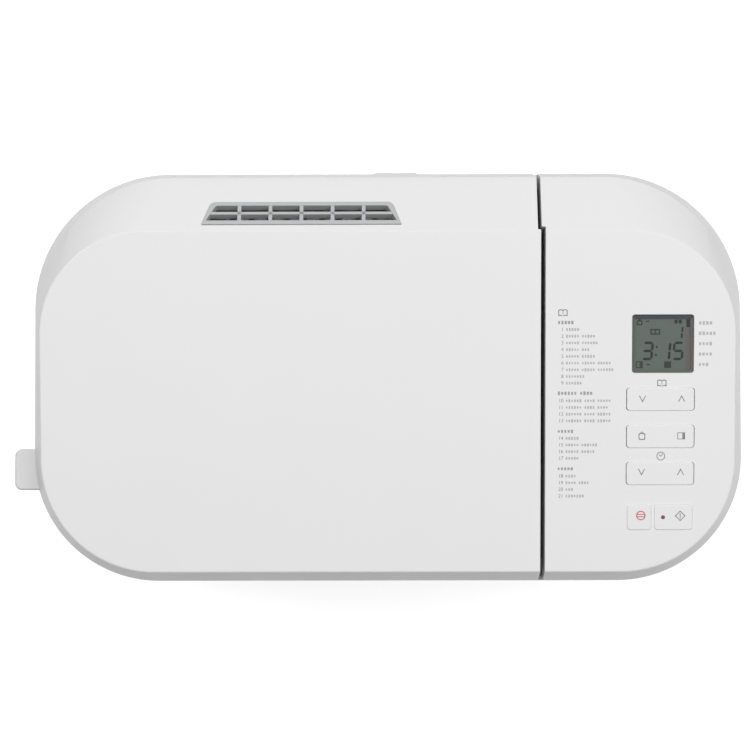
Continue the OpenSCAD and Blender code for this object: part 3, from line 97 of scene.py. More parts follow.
def evaluatedMesh(obj):
    graph = bpy.context.evaluated_depsgraph_get()
    return bpy.data.meshes.new_from_object(obj.evaluated_get(graph))


def applyModifiers(obj):
    mesh = evaluatedMesh(obj)
    obj.modifiers.clear()
    old = obj.data
    obj.data = mesh
    bpy.data.meshes.remove(old)
    return obj


def modify(obj, kind, **options):
    mod = obj.modifiers.new("step", kind)
    for option, value in options.items():
        setattr(mod, option, value)
    return applyModifiers(obj)


def outwardNormals(mesh):
    bm = bmesh.new()
    bm.from_mesh(mesh)
    bmesh.ops.remove_doubles(bm, verts=bm.verts, dist=mergeReach)
    bmesh.ops.recalc_face_normals(bm, faces=bm.faces)
    bm.to_mesh(mesh)
    bm.free()


def joinObjects(objs, name="form"):
    verts, faces, mats, picks = [], [], [], []
    for o in objs:
        base = len(verts)
        verts += [v.co.copy() for v in o.data.vertices]
        for poly in o.data.polygons:
            faces.append([base + i for i in poly.vertices])
            mat = o.data.materials[poly.material_index] if o.data.materials else None
            if mat not in mats:
                mats.append(mat)
            picks.append(mats.index(mat))
    mesh = bpy.data.meshes.new(name)
    mesh.from_pydata(verts, [], faces)
    for mat in mats:
        if mat:
            mesh.materials.append(mat)
    for poly, index in zip(mesh.polygons, picks):
        poly.material_index = index if mats[0] else 0
    for o in objs:
        bpy.data.objects.remove(o)
    return newObject(mesh, name)


def smoothByAngle(obj, degrees):
    obj.data.polygons.foreach_set("use_smooth", [True] * len(obj.data.polygons))
    obj.data.set_sharp_from_angle(angle=math.radians(degrees))
    modify(obj, "WEIGHTED_NORMAL", keep_sharp=True, weight=60)


def booleanCut(obj, tool, operation="DIFFERENCE"):
    modify(obj, "BOOLEAN", operation=operation, solver="EXACT", object=tool)
    bpy.data.objects.remove(tool)
    return obj


def dissolveFlat(obj, degrees=0.15):
    bm = bmesh.new()
    bm.from_mesh(obj.data)
    bmesh.ops.remove_doubles(bm, verts=bm.verts, dist=1.5 * mergeReach)
    bmesh.ops.dissolve_limit(bm, angle_limit=math.radians(degrees), verts=bm.verts, edges=bm.edges)
    bm.to_mesh(obj.data)
    bm.free()


def roundEdges(obj, width, degrees=38, segments=2):
    modify(obj, "BEVEL", width=width / 1000, segments=segments, limit_method="ANGLE",
           angle_limit=math.radians(degrees), use_clamp_overlap=False, miter_outer="MITER_ARC")


def quarter(radius, steps):
    # inset and drop along a rounded edge, from the top to the side
    turns = [math.pi / 2 * k / steps for k in range(steps + 1)]
    return [(radius * (1 - math.sin(t)), radius * (1 - math.cos(t))) for t in turns]


def softSteps(low, high, soft, steps):
    # insets and heights of a form with its lower and upper edges rounded
    edge = quarter(soft, steps)
    return [(g, low + drop) for g, drop in edge] + [(g, high - drop) for g, drop in edge[::-1]]


def arc(cx, cy, r, start, end, steps):
    return [(cx + r * math.cos(math.radians(start + (end - start) * k / steps)),
             cy + r * math.sin(math.radians(start + (end - start) * k / steps)))
            for k in range(steps + 1)]


def roundedPlan(hw, yFront, yRear, rFront, rRear, steps):
    pts = arc(hw - rRear, yRear - rRear, rRear, 0, 90, steps)
    pts += arc(rRear - hw, yRear - rRear, rRear, 90, 180, steps)
    pts += arc(rFront - hw, yFront + rFront, rFront, 180, 270, steps)
    pts += arc(hw - rFront, yFront + rFront, rFront, 270, 360, steps)
    return pts


def casingPlan(g, steps=None):
    steps = steps or casing["arcSteps"]
    return roundedPlan(halfW - g, g - halfD, halfD - g,
                       casing["frontCorner"] - g, casing["rearCorner"] - g, steps)


def facePlan(g):
    return roundedPlan(halfW - top["side"] - g, top["front"] + g - halfD, ridgeY - g,
                       top["frontCorner"] - g, top["rearCorner"] - g, casing["arcSteps"])


def rimPlan(g):
    r = top["rimCorner"]
    cx, cy = halfW - top["rimSide"] - r, rimY - r
    return arc(cx, cy, r - g, -90, 110, 90) + arc(-cx, cy, r - g, 70, 270, 90)


def boxPlan(hw, hd, r, steps=10):
    return roundedPlan(hw, -hd, hd, r, r, steps)


def hullObject(points):
    bm = bmesh.new()
    for p in points:
        bm.verts.new(toRow(p))
    result = bmesh.ops.convex_hull(bm, input=bm.verts)
    loose = [v for v in result["geom_interior"] + result["geom_unused"]
             if isinstance(v, bmesh.types.BMVert)]
    bmesh.ops.delete(bm, geom=list(set(loose)), context="VERTS")
    bmesh.ops.recalc_face_normals(bm, faces=bm.faces)
    mesh = bpy.data.meshes.new("form")
    bm.to_mesh(mesh)
    bm.free()
    return newObject(mesh)


def topForm(g, low):
    # the blended form of lid and cover together, g inside its outer face
    joint = casing["joint"]
    points = []
    for z, inset in [(low, 0)] + [(joint + rise, inset) for rise, inset in top["bulge"]]:
        points += [(x, y, z) for x, y in casingPlan(g + inset)]
    deep = g / math.cos(slopeAngle)
    for inset, drop in quarter(top["edge"], 6):
        points += [(x, y, faceZ(y) - deep - drop) for x, y in facePlan(g + inset)]
    deep = top["rimDrop"] + g / math.cos(bandAngle)
    for inset, drop in quarter(top["rimSoft"], 4):
        points += [(x, y, faceZ(y) - deep - drop) for x, y in rimPlan(g + inset)]
    return hullObject(points)


def loft(rings, place=None, closed=False):
    # rings of points with equal counts, joined one to the next
    n, last = len(rings[0]), len(rings) - 1
    verts = [p for ring in rings for p in ring]
    faces = []
    for r in range(last + closed):
        a, b = r * n, (0 if r == last else r + 1) * n
        faces += [[a + i, a + (i + 1) % n, b + (i + 1) % n, b + i] for i in range(n)]
    if not closed:
        faces += [list(range(n - 1, -1, -1)), [last * n + i for i in range(n)]]
    obj = newObject(newMesh(verts, faces, place))
    outwardNormals(obj.data)
    return obj


def stack(plan, steps, place=None, closed=False):
    # an outline for each step of inset and height
    return loft([[(x, y, z) for x, y in plan(g)] for g, z in steps], place, closed)


def prism(plan, low, high, place=None):
    return loft([[(x, y, z) for x, y in plan] for z in (low, high)], place)


def block(low, high, place=None):
    return prism(bar(low[0], low[1], high[0], high[1]), low[2], high[2], place)


def turned(profile, axis="Z", place=None, steps=40, closed=False):
    # a lathe form from (radius, height) pairs about an axis through the origin of place
    rings = []
    for r, h in profile:
        ring = []
        for k in range(steps):
            a = 2 * math.pi * k / steps
            c, s = r * math.cos(a), r * math.sin(a)
            ring.append({"Z": (c, s, h), "X": (h, c, s), "Y": (s, h, c)}[axis])
        rings.append(ring)
    return loft(rings, place, closed)


def rod(radius, low, high, place, axis="Z", steps=32):
    return turned([(radius, low), (radius, high)], axis, place, steps)


def onFace(x, y, depth=0.0):
    return (Matrix.Translation((x, y, faceZ(y))) @ Matrix.Rotation(slopeAngle, 4, "X")
            @ Matrix.Translation((0, 0, -depth)))


def onBand(x):
    return Matrix.Translation((x, ridgeY, top["height"])) @ Matrix.Rotation(-bandAngle, 4, "X")


def at(x, y, z):
    return Matrix.Translation((x, y, z))


def flatMarks(shapes, mat, lift):
    # flat shapes given in plan, laid lift above the sloping face
    verts, faces = [], []
    for shape in shapes:
        base = len(verts)
        verts += [(x, y, faceZ(y) + lift / math.cos(slopeAngle)) for x, y in shape]
        faces.append(list(range(base, len(verts))))
    obj = newObject(newMesh(verts, faces))
    for face in obj.data.polygons:
        if face.normal.z < 0:
            face.flip()
    obj.data.materials.append(mat)
    return obj


def bar(x0, y0, x1, y1):
    return [(x0, y0), (x1, y0), (x1, y1), (x0, y1)]


def stroke(points, width, closed=False):
    # a line of even width as one piece for each straight run
    shapes = []
    pairs = list(zip(points, points[1:] + (points[:1] if closed else [])))
    for (x0, y0), (x1, y1) in pairs:
        length = math.hypot(x1 - x0, y1 - y0)
        ux, uy = (x1 - x0) / length * width / 2, (y1 - y0) / length * width / 2
        ax, ay, bx, by = x0 - ux * 0.8, y0 - uy * 0.8, x1 + ux * 0.8, y1 + uy * 0.8
        shapes.append([(ax - uy, ay + ux), (ax + uy, ay - ux), (bx + uy, by - ux), (bx - uy, by + ux)])
    return shapes


def ringMark(cx, cy, outer, inner, start=0, end=360, steps=28):
    out, back = arc(cx, cy, outer, start, end, steps), arc(cx, cy, inner, start, end, steps)
    return [[out[k], out[k + 1], back[k + 1], back[k]] for k in range(steps)]


def shifted(shapes, x, y):
    return [[(px + x, py + y) for px, py in shape] for shape in shapes]


def newTree(name, kind, inputs, outputs):
    tree = bpy.data.node_groups.new(name, kind + "NodeTree")
    for label, socketKind, value in inputs:
        socket = tree.interface.new_socket(label, in_out="INPUT", socket_type="NodeSocket" + socketKind)
        if value is not None:
            socket.default_value = value
    for label, socketKind in outputs:
        tree.interface.new_socket(label, in_out="OUTPUT", socket_type="NodeSocket" + socketKind)
    return tree, tree.nodes.new("NodeGroupInput").outputs, tree.nodes.new("NodeGroupOutput")


def setInputs(tree, node, values):
    # links what comes from another node, and sets the rest on the node's own sockets
    for key, value in values.items():
        if isinstance(value, bpy.types.NodeSocket):
            tree.links.new(value, node.inputs[key])
        else:
            node.inputs[key].default_value = value


def addNode(tree, kind, values=None, **options):
    node = tree.nodes.new(kind)
    for option, value in options.items():
        setattr(node, option, value)
    setInputs(tree, node, values or {})
    return node


def mathNode(tree, operation, a, b):
    return addNode(tree, "ShaderNodeMath", {0: a, 1: b}, operation=operation).outputs[0]


def endTree(tree, geometry, material, end):
    real = addNode(tree, "GeometryNodeRealizeInstances", {0: geometry})
    finish = addNode(tree, "GeometryNodeSetMaterial", {"Geometry": real.outputs[0],
                                                       "Material": material})
    setInputs(tree, end, {"Geometry": finish.outputs[0]})


def bakeTree(tree, values, mesh=None):
    # grows a tree on a mesh and keeps the result as a plain mesh
    obj = newObject(mesh or bpy.data.meshes.new("grown"))
    mod = obj.modifiers.new("grown", "NODES")
    mod.node_group = tree
    for item in tree.interface.items_tree:
        if item.in_out == "INPUT" and item.name in values:
            mod[item.identifier] = values[item.name]
    return applyModifiers(obj)


def noiseNode(tree, coords, scale, detail, rough, stretch=None):
    if stretch:
        coords = addNode(tree, "ShaderNodeMapping", {"Vector": coords, "Scale": stretch}).outputs[0]
    noise = addNode(tree, "ShaderNodeTexNoise", {"Vector": coords, "Scale": scale, "Detail": detail,
                                                 "Roughness": rough})
    return mathNode(tree, "SUBTRACT", noise.outputs["Fac"], 0.5)


def buildGrain(name, stretch=None):
    # cloudy colour change and fine texture shared by the plastics and the metals
    tree, given, end = newTree(name, "Shader", [
        ("Colour", "Color", (0.8, 0.8, 0.8, 1)), ("Variation", "Float", 0.03),
        ("Roughness", "Float", 0.4), ("Roughness Variation", "Float", 0.1),
        ("Cloud Scale", "Float", 18.0), ("Grain Scale", "Float", 900.0),
    ], [("Colour", "Color"), ("Roughness", "Float"), ("Height", "Float")])
    coords = tree.nodes.new("ShaderNodeTexCoord").outputs["Object"]
    cloud = noiseNode(tree, coords, given["Cloud Scale"], 3.0, 0.5)
    grain = noiseNode(tree, coords, given["Grain Scale"], 2.0, 0.6, stretch)
    mixed = mathNode(tree, "ADD", cloud, mathNode(tree, "MULTIPLY", grain, 0.4))
    tint = mathNode(tree, "ADD", mathNode(tree, "MULTIPLY", mixed, given["Variation"]), 1.0)
    tinted = addNode(tree, "ShaderNodeVectorMath", {0: given["Colour"], "Scale": tint},
                     operation="SCALE")
    wear = mathNode(tree, "MULTIPLY", mixed, given["Roughness Variation"])
    setInputs(tree, end, {"Colour": tinted.outputs[0],
                          "Roughness": mathNode(tree, "ADD", given["Roughness"], wear),
                          "Height": mathNode(tree, "ADD", grain, 0.5)})
    return tree


grains = {
    "moulded": buildGrain("mouldedGrain"),
    "brushed": buildGrain("brushedGrain", (0.04, 1.0, 1.0)),
}


def surface(name, colour, rough, grain="moulded", metal=0.0, variation=0.03, cloudScale=18.0,
            grainScale=900.0, bump=0.12, specular=0.5, alpha=1.0):
    mat = bpy.data.materials.new(name)
    mat.use_nodes = True
    tree = mat.node_tree
    group = addNode(tree, "ShaderNodeGroup", {
        "Colour": (*colour, 1), "Variation": variation, "Roughness": rough, "Roughness Variation": 0.12,
        "Cloud Scale": cloudScale, "Grain Scale": grainScale}, node_tree=grains[grain]).outputs
    relief = addNode(tree, "ShaderNodeBump", {"Strength": bump, "Distance": 0.00008,
                                              "Height": group["Height"]})
    setInputs(tree, tree.nodes["Principled BSDF"], {
        "Base Color": group["Colour"], "Roughness": group["Roughness"], "Metallic": metal,
        "Normal": relief.outputs["Normal"], "Specular IOR Level": specular, "Alpha": alpha})
    mat.diffuse_color = (*colour, 1)
    return mat


brushed = dict(grain="brushed", metal=1.0)
finishes = {  # colour, roughness, and what differs from a plain moulding
    "casing_white": ((0.80, 0.80, 0.80), 0.5, dict(variation=0.02, specular=0.35)),
    "key_white": ((0.80, 0.80, 0.80), 0.48, dict(variation=0.02, grainScale=1500, specular=0.35)),
    "grip_grey": ((0.71, 0.71, 0.72), 0.42, dict(variation=0.03)),
    "vent_grey": ((0.50, 0.505, 0.51), 0.45, dict(variation=0.03)),
    "base_grey": ((0.33, 0.33, 0.34), 0.55, dict(variation=0.06, bump=0.3)),
    "inner_white": ((0.70, 0.70, 0.69), 0.5, dict(variation=0.04)),
    "black_plastic": ((0.022, 0.022, 0.024), 0.5, dict(variation=0.12, bump=0.3)),
    "foot_rubber": ((0.035, 0.035, 0.037), 0.8, dict(variation=0.15, bump=0.5)),
    "silicone_grey": ((0.42, 0.42, 0.41), 0.6, dict(variation=0.06)),
    "screw_steel": ((0.62, 0.62, 0.63), 0.3, brushed),
    "sheet_steel": ((0.56, 0.57, 0.58), 0.36, dict(**brushed, bump=0.2, grainScale=1200)),
    "oven_steel": ((0.50, 0.51, 0.52), 0.42, dict(**brushed, bump=0.25, grainScale=1200,
                                                  variation=0.08)),
    "bright_steel": ((0.70, 0.70, 0.71), 0.18, dict(**brushed, grainScale=1600)),
    "cast_aluminium": ((0.62, 0.62, 0.62), 0.5, dict(metal=1.0, variation=0.1, bump=0.4,
                                                     grainScale=600)),
    "lining_aluminium": ((0.68, 0.68, 0.69), 0.36, dict(**brushed, grainScale=1200)),
    "nonstick_dark": ((0.052, 0.052, 0.056), 0.36, dict(metal=0.35, variation=0.25, bump=0.35,
                                                        grainScale=1800, cloudScale=40)),
    "bush_bronze": ((0.50, 0.32, 0.14), 0.38, dict(metal=1.0, variation=0.1)),
    "copper": ((0.62, 0.27, 0.12), 0.34, dict(**brushed, variation=0.15)),
    "stator_iron": ((0.16, 0.16, 0.17), 0.45, dict(grain="brushed", metal=0.9, variation=0.2,
                                                   bump=0.5)),
    "heater_dark": ((0.055, 0.05, 0.048), 0.6, dict(metal=0.4, variation=0.3, bump=0.4)),
    "ceramic": ((0.76, 0.73, 0.66), 0.35, dict(variation=0.05)),
    "lcd_glass": ((0.10, 0.12, 0.11), 0.12, dict(alpha=0.06, bump=0.0, specular=0.3)),
    "lcd_frame": ((0.105, 0.112, 0.115), 0.5, dict(variation=0.05)),
    "lamp_red": ((0.36, 0.07, 0.08), 0.3, {}),
    "board_green": ((0.02, 0.13, 0.06), 0.32, dict(variation=0.2, bump=0.25, cloudScale=120)),
    "ribbon_grey": ((0.40, 0.40, 0.42), 0.5, dict(variation=0.1, grain="brushed")),
}
slots = {name: surface(name, colour, rough, **rest)
         for name, (colour, rough, rest) in finishes.items()}
printings = {
    # colour, roughness, variation and bump
    "markGrey": ((0.26, 0.26, 0.265), 0.5, 0.06, 0.12),
    "listGrey": ((0.46, 0.46, 0.465), 0.5, 0.06, 0.12),
    "headGrey": ((0.34, 0.34, 0.345), 0.5, 0.06, 0.12),
    "stopRed": ((0.62, 0.13, 0.17), 0.45, 0.06, 0.12),
    "displayGreen": ((0.118, 0.148, 0.125), 0.4, 0.05, 0.0),
    # painted shade: the bezel's shadow across the top of the display, in navy
    "displayTopShade": ((0.045, 0.05, 0.075), 0.4, 0.05, 0.0),
    # painted shade: the bezel's shade down the right side of the display, in grey-brown
    "displaySideShade": ((0.13, 0.118, 0.118), 0.4, 0.05, 0.0),
    "displayEdge": ((0.095, 0.115, 0.105), 0.4, 0.05, 0.0),
    "displayInk": ((0.006, 0.007, 0.007), 0.5, 0.1, 0.0),
    "displayFaint": ((0.020, 0.026, 0.023), 0.5, 0.1, 0.0),
}
prints = {name: surface(name, colour, rough, variation=variation, bump=bump)
          for name, (colour, rough, variation, bump) in printings.items()}


replacedNodes = set()


def addPiece(name, parts, slotName, body, *replaced, smooth=30):
    obj = joinObjects(parts, name)
    if smooth:
        smoothByAngle(obj, smooth)
    if not obj.data.materials:
        obj.data.materials.append(slots[slotName])
    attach(obj, body)
    if replaced:
        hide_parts(*replaced)
        replacedNodes.update(replaced)
    print(name, len(obj.data.polygons), "faces")


slotOf = {part["node"]: part["material_slot"] for part in frame["record"]["subparts"]}
print("materials ready")


def lidPlan(g):
    xFront = seam["x"] - seam["gap"] / 2 - g
    xRear = seam["x"] - seam["jog"] - seam["rearGap"] / 2 - g
    return [(-far, -far), (xFront, -far), (xFront, ridgeY - g), (xRear, ridgeY - g), (xRear, far),
            (-far, far)]


def coverPlan(g):
    xFront = seam["x"] + seam["gap"] / 2 + g
    xRear = seam["x"] - seam["jog"] + seam["rearGap"] / 2 + g
    jog = ridgeY + seam["jogPlay"] + g
    return [(far, -far), (far, far), (xRear, far), (xRear, jog), (xFront, jog), (xFront, -far)]


vent = {
    "x": -46.8, "width": 109.5, "topWidth": 99.0, "length": 14.5, "offset": 3.5, "thick": 5.0,
    "frame": 2.6, "ribs": 5, "pitch": 17.0, "ribWide": 2.0, "bar": 1.6, "corner": 3.2, "play": 0.15,
}
grip = {"reach": 10.0, "root": 9.0, "y": -52.0, "length": 23.0, "z": 309.4, "thick": 9.0, "corner": 4.0,
        "slotPlay": 0.02, "stop": 1.5, "stopHalf": 13.0, "soft": 1.2}
hinges = {"xs": (-95.0, 55.0), "barrel": 10.0, "lidBarrel": 7.0, "play": 0.4, "radius": 2.8, "pin": 1.25,
          "soft": 0.3, "notchHigh": 6.2}
hingeY = halfD - hinges["radius"]
hingeZ = casing["joint"] + hinges["radius"]
lidPosts = {"x": 74.0, "y": 50.0, "radius": 4.0, "low": 325.2}


def ventPlan(g):
    # trapezoid on the rear band with its two rear corners rounded
    corner = vent["corner"] - 0.6 * g
    half, topHalf = vent["width"] / 2 - g, vent["topWidth"] / 2 - g
    y0, y1 = vent["offset"] + g, vent["offset"] + vent["length"] - g
    slant = math.atan2(y1 - y0, half - topHalf)      # inner angle at the front corners
    back = corner * math.tan(slant / 2)              # distance from a rear corner to its arc
    inner = topHalf - back
    sweep = math.degrees(slant)
    rear = arc(inner, y1 - corner, corner, 90 - sweep, 90, 6)
    mirrored = [(-x, y) for x, y in reversed(rear)]
    return [(-half, y0), (half, y0)] + rear + mirrored


def buildShell(plan):
    wall, joint = casing["wall"], casing["joint"]
    outer = topForm(0, joint)
    booleanCut(outer, prism(plan(0), joint - 1, above), "INTERSECT")
    inner = topForm(wall, joint - 5)
    booleanCut(inner, prism(plan(wall), joint - 6, above), "INTERSECT")
    return booleanCut(outer, inner)


lidShell = buildShell(lidPlan)
under = casing["joint"] - 2
profile = arc(hingeY, hingeZ, hinges["radius"], 0, -90, 12) + [(hingeY, under), (halfD + 4, under),
                                                               (halfD + 4, hingeZ)]
booleanCut(lidShell, loft([[(x, y, z) for y, z in profile] for x in (-halfW - 2, seam["x"] + 3)]))
for x in hinges["xs"]:
    half = hinges["barrel"] / 2 + hinges["play"]
    booleanCut(lidShell, block((x - half, hingeY - 2 * hinges["radius"], casing["joint"] - 1),
                               (x + half, halfD + 5, casing["joint"] + hinges["notchHigh"])))
booleanCut(lidShell, prism(ventPlan(0), -8, 8, onBand(vent["x"])))
half, play = grip["length"] / 2 + grip["slotPlay"], grip["slotPlay"]
booleanCut(lidShell, block((-halfW - 12, grip["y"] - half, grip["z"] - play),
                           (grip["root"] - halfW, grip["y"] + half, grip["z"] + grip["thick"] + play)))
dissolveFlat(lidShell)
roundEdges(lidShell, 0.45)
lidParts = [lidShell]
r, half, soft = hinges["radius"], hinges["lidBarrel"] / 2, hinges["soft"]
barrel = [(hinges["pin"], -half), (r - soft, -half), (r, soft - half), (r, half - soft),
          (r - soft, half), (hinges["pin"], half)]
for x in hinges["xs"]:
    for side in (-1, 1):
        middle = side * (hinges["barrel"] / 2 + hinges["play"] + half)
        lidParts.append(turned(barrel, "X", at(x + middle, hingeY, hingeZ), closed=True))
for sx in (-1, 1):
    for y in (-lidPosts["y"], lidPosts["y"]):
        lidParts.append(rod(lidPosts["radius"], lidPosts["low"], faceZ(y) - casing["wall"] / 2,
                            at(oven["x"] + sx * lidPosts["x"], y, 0)))
addPiece("lidShell", lidParts, "casing_white", "lid", "lid_shell")

keys = {
    "x": 149.6, "width": 36.8, "height": 12.0, "ys": (-14.4, -34.7, -55.0), "proud": 0.6, "depth": 3.4,
    "corner": 1.5, "play": 0.4, "edge": 0.55, "webHalf": 3.0, "lug": 7.0, "pivot": 6.5, "lugThick": 1.8,
    "pinHole": 1.05, "rib": 13.0, "ribHalf": 1.5, "tilt": 2.5, "switchDepth": 12.5, "gap": 0.5,
    "stopX": 138.3, "stopWidth": 12.6, "startX": 157.1, "startWidth": 20.2, "pushY": -79.0,
    "pushHeight": 13.4, "stem": 2.5, "press": 0.8, "pushGap": 0.3, "flange": 1.2, "flangeOut": 0.9,
    "lampX": 151.4, "lampHole": 1.1, "rockerGrow": (0.06, 0.37), "pushGrow": (0.37, 0.37),
}
lcd = {"x": 150.8, "y": 15.7, "width": 33.7, "height": 32.0, "depth": 0.3, "thick": 1.5}
boards = {"xs": (114.0, 176.0), "ys": (-74.0, 34.0), "depth": 17.0, "carrier": 9.0, "stud": 5.0,
          "pillar": 3.0}
coverFit = {"out": 2.9, "in": 4.9, "tongue": (298.0, 313.0), "tongueX": 103.65, "wall": (300.3, 306.2),
            "postX": 94.65, "postY": 70.0, "post": 4.0}
pushKeys = (("stop_button", "stop_key", keys["stopX"], keys["stopWidth"]),
            ("start_button", "start_key", keys["startX"], keys["startWidth"]))


def keyHole(x, y, width, height, play=keys["play"]):
    plan = boxPlan(width / 2 + play, height / 2 + play, keys["corner"] + play, 6)
    return prism(plan, -6, 4, onFace(x, y))


cover = buildShell(coverPlan)
booleanCut(cover, keyHole(lcd["x"], lcd["y"], lcd["width"], lcd["height"], 0.0))
dissolveFlat(cover)
roundEdges(cover, 0.45)
for y in keys["ys"]:
    booleanCut(cover, keyHole(keys["x"], y, keys["width"], keys["height"]))
for node, body, x, width in pushKeys:
    booleanCut(cover, keyHole(x, keys["pushY"], width, keys["pushHeight"]))
low, high = coverFit["tongue"]
tongue = prism(casingPlan(coverFit["out"], casing["fitSteps"]), low, high)
booleanCut(tongue, prism(casingPlan(coverFit["in"], casing["fitSteps"]), low - 1, high + 1))
rightSide = block((coverFit["tongueX"], -far, low - 8), (far, far, high + 7))
booleanCut(tongue, rightSide, "INTERSECT")
low, high = coverFit["wall"]
sideWall = prism(casingPlan(coverFit["out"], casing["fitSteps"]), low, high)
booleanCut(sideWall, prism(coverPlan(0), low - 1.3, high + 0.8), "INTERSECT")
booleanCut(sideWall, prism(coverPlan(casing["wall"]), low - 1.3, high + 1.8))
coverParts = [cover, tongue, sideWall]
inWall = casing["wall"] / 2
for y in (-coverFit["postY"], coverFit["postY"]):
    coverParts.append(rod(coverFit["post"], low, faceZ(y) - inWall, at(coverFit["postX"], y, 0)))
for x in boards["xs"]:
    for y in boards["ys"]:
        for name, depth in (("stud", "carrier"), ("pillar", "depth")):
            coverParts.append(rod(boards[name], -boards[depth], -inWall, onFace(x, y)))
addPiece("controlCover", coverParts, "casing_white", "machine", "control_cover")

shell = {"soft": 0.6, "softMiddle": 0.17, "cordX": 5.0, "cordZ": 85.0, "cordHole": 6.0, "boss": 4.5,
         "bossHole": 1.52, "bossSoft": 0.3, "bossLow": 7.8, "bossHigh": 31.8, "sideBoss": (191.9, 0.0),
         "frontBoss": (69.5, 107.9)}
low, high = casing["bottom"], casing["joint"] - casing["lidGap"]
soft, middle = shell["soft"], shell["softMiddle"]
shellSteps = [(soft, low), (middle, low + middle), (0, low + soft), (0, high - soft),
              (middle, high - middle), (soft, high), (casing["wall"], high), (casing["wall"], low)]
bodyShell = stack(casingPlan, shellSteps, closed=True)
cordPlace = at(shell["cordX"], halfD, shell["cordZ"])
booleanCut(bodyShell, rod(shell["cordHole"], -8, 8, cordPlace, "Y", 40))
low, high, soft = shell["bossLow"], shell["bossHigh"], shell["bossSoft"]
boss = [(shell["boss"], low), (shell["boss"], high - soft), (shell["boss"] - soft, high),
        (shell["bossHole"], high), (shell["bossHole"], low)]
(sideX, sideY), (frontX, frontY) = shell["sideBoss"], shell["frontBoss"]
bodyParts = [bodyShell]
for x, y in [(-sideX, sideY), (sideX, sideY), (-frontX, -frontY), (-frontX, frontY), (frontX, -frontY),
             (frontX, frontY)]:
    bodyParts.append(turned(boss, place=at(x, y, 0), steps=32))
addPiece("bodyShell", bodyParts, "casing_white", "machine", "body_shell")

hump = {"x": 5.0, "width": 34.0, "reach": 15.5, "corner": 6.0, "low": 60.0, "high": 190.0, "wall": 2.2,
        "soft": 3.0, "glandY": 121.7, "gland": 4.62}


def humpPlan(g, root=halfD):
    half, r = hump["width"] / 2 - g, hump["corner"] - g
    rear = halfD + hump["reach"] - g
    pts = [(-half, root), (half, root)]
    pts += arc(half - r, rear - r, r, 0, 90, 10) + arc(r - half, rear - r, r, 90, 180, 10)
    return [(x + hump["x"], y) for x, y in pts]


low, high, wall = hump["low"], hump["high"], hump["wall"]
cordHousing = stack(humpPlan, softSteps(low, high, hump["soft"], 6))
booleanCut(cordHousing, prism(humpPlan(wall, halfD - 1), low + wall, high - wall))
booleanCut(cordHousing, rod(hump["gland"], low - 2, low + 4,
                            at(hump["x"], hump["glandY"], 0), steps=40))
addPiece("cordHousing", [cordHousing], "casing_white", "machine", "cord_housing")


def ribTree():
    tree, given, end = newTree("ventRibs", "Geometry", [
        ("Geometry", "Geometry", None), ("Count", "Int", 5), ("Pitch", "Float", 0.017),
        ("Rib Size", "Vector", (0.002, 0.01, 0.0046)), ("Bar Size", "Vector", (0.1, 0.0016, 0.0046)),
        ("Middle", "Vector", (0.0, 0.0, 0.0)), ("Place", "Vector", (0.0, 0.0, 0.0)),
        ("Tilt", "Float", 0.0), ("Finish", "Material", None)], [("Geometry", "Geometry")])
    less = mathNode(tree, "SUBTRACT", given["Count"], 1.0)
    span = mathNode(tree, "MULTIPLY", mathNode(tree, "MULTIPLY", less, given["Pitch"]), -0.5)
    first, step, turn = [addNode(tree, "ShaderNodeCombineXYZ", {"X": value}).outputs[0]
                         for value in (span, given["Pitch"], given["Tilt"])]
    row = addNode(tree, "GeometryNodeMeshLine", {"Count": given["Count"], "Start Location": first,
                                                 "Offset": step})
    rib = addNode(tree, "GeometryNodeMeshCube", {"Size": given["Rib Size"]})
    long = addNode(tree, "GeometryNodeMeshCube", {"Size": given["Bar Size"]})
    copies = addNode(tree, "GeometryNodeInstanceOnPoints", {"Points": row.outputs["Mesh"],
                                                            "Instance": rib.outputs["Mesh"]})
    join = addNode(tree, "GeometryNodeJoinGeometry", {0: copies.outputs[0]})
    setInputs(tree, join, {0: long.outputs["Mesh"]})
    lowered = addNode(tree, "GeometryNodeTransform", {"Geometry": join.outputs[0],
                                                      "Translation": given["Middle"]})
    put = addNode(tree, "GeometryNodeTransform", {"Geometry": lowered.outputs[0],
                                                  "Translation": given["Place"], "Rotation": turn})
    endTree(tree, put.outputs[0], given["Finish"], end)
    return tree


play, frameWidth, thick = vent["play"], vent["frame"], vent["thick"]
ringSteps = [(play, -thick), (play, -0.3), (play + 0.09, -0.09), (play + 0.3, 0), (frameWidth - 0.3, 0),
             (frameWidth - 0.09, -0.09), (frameWidth, -0.3), (frameWidth, -thick)]
ventFrame = stack(ventPlan, ringSteps, onBand(vent["x"]), closed=True)
ventFrame.data.materials.append(slots["vent_grey"])
ribHigh = vent["thick"] - 0.6
ventRibs = bakeTree(ribTree(), {
    "Count": vent["ribs"], "Pitch": vent["pitch"] / 1000,
    "Rib Size": (vent["ribWide"] / 1000, (vent["length"] - 2 * frameWidth + 0.8) / 1000, ribHigh / 1000),
    "Bar Size": ((vent["width"] - 3.2 * frameWidth) / 1000, vent["bar"] / 1000, ribHigh / 1000),
    "Middle": (0.0, (vent["offset"] + vent["length"] / 2) / 1000, -(0.35 + ribHigh / 2) / 1000),
    "Place": tuple(toRow((vent["x"], ridgeY, top["height"]))), "Tilt": -bandAngle,
    "Finish": slots["vent_grey"]})
addPiece("ventGrille", [ventFrame, ventRibs], "vent_grey", "lid", "steam_vent")

low, high = grip["z"], grip["z"] + grip["thick"]


def gripPlan(g):
    x0, x1 = -halfW - grip["reach"] + g, grip["root"] + grip["stop"] - halfW
    r, half = grip["corner"] - g, grip["length"] / 2 - g
    pts = arc(x0 + r, grip["y"] + half - r, r, 90, 180, 8)
    pts += arc(x0 + r, grip["y"] - half + r, r, 180, 270, 8)
    return pts + [(x1, grip["y"] - half), (x1, grip["y"] + half)]


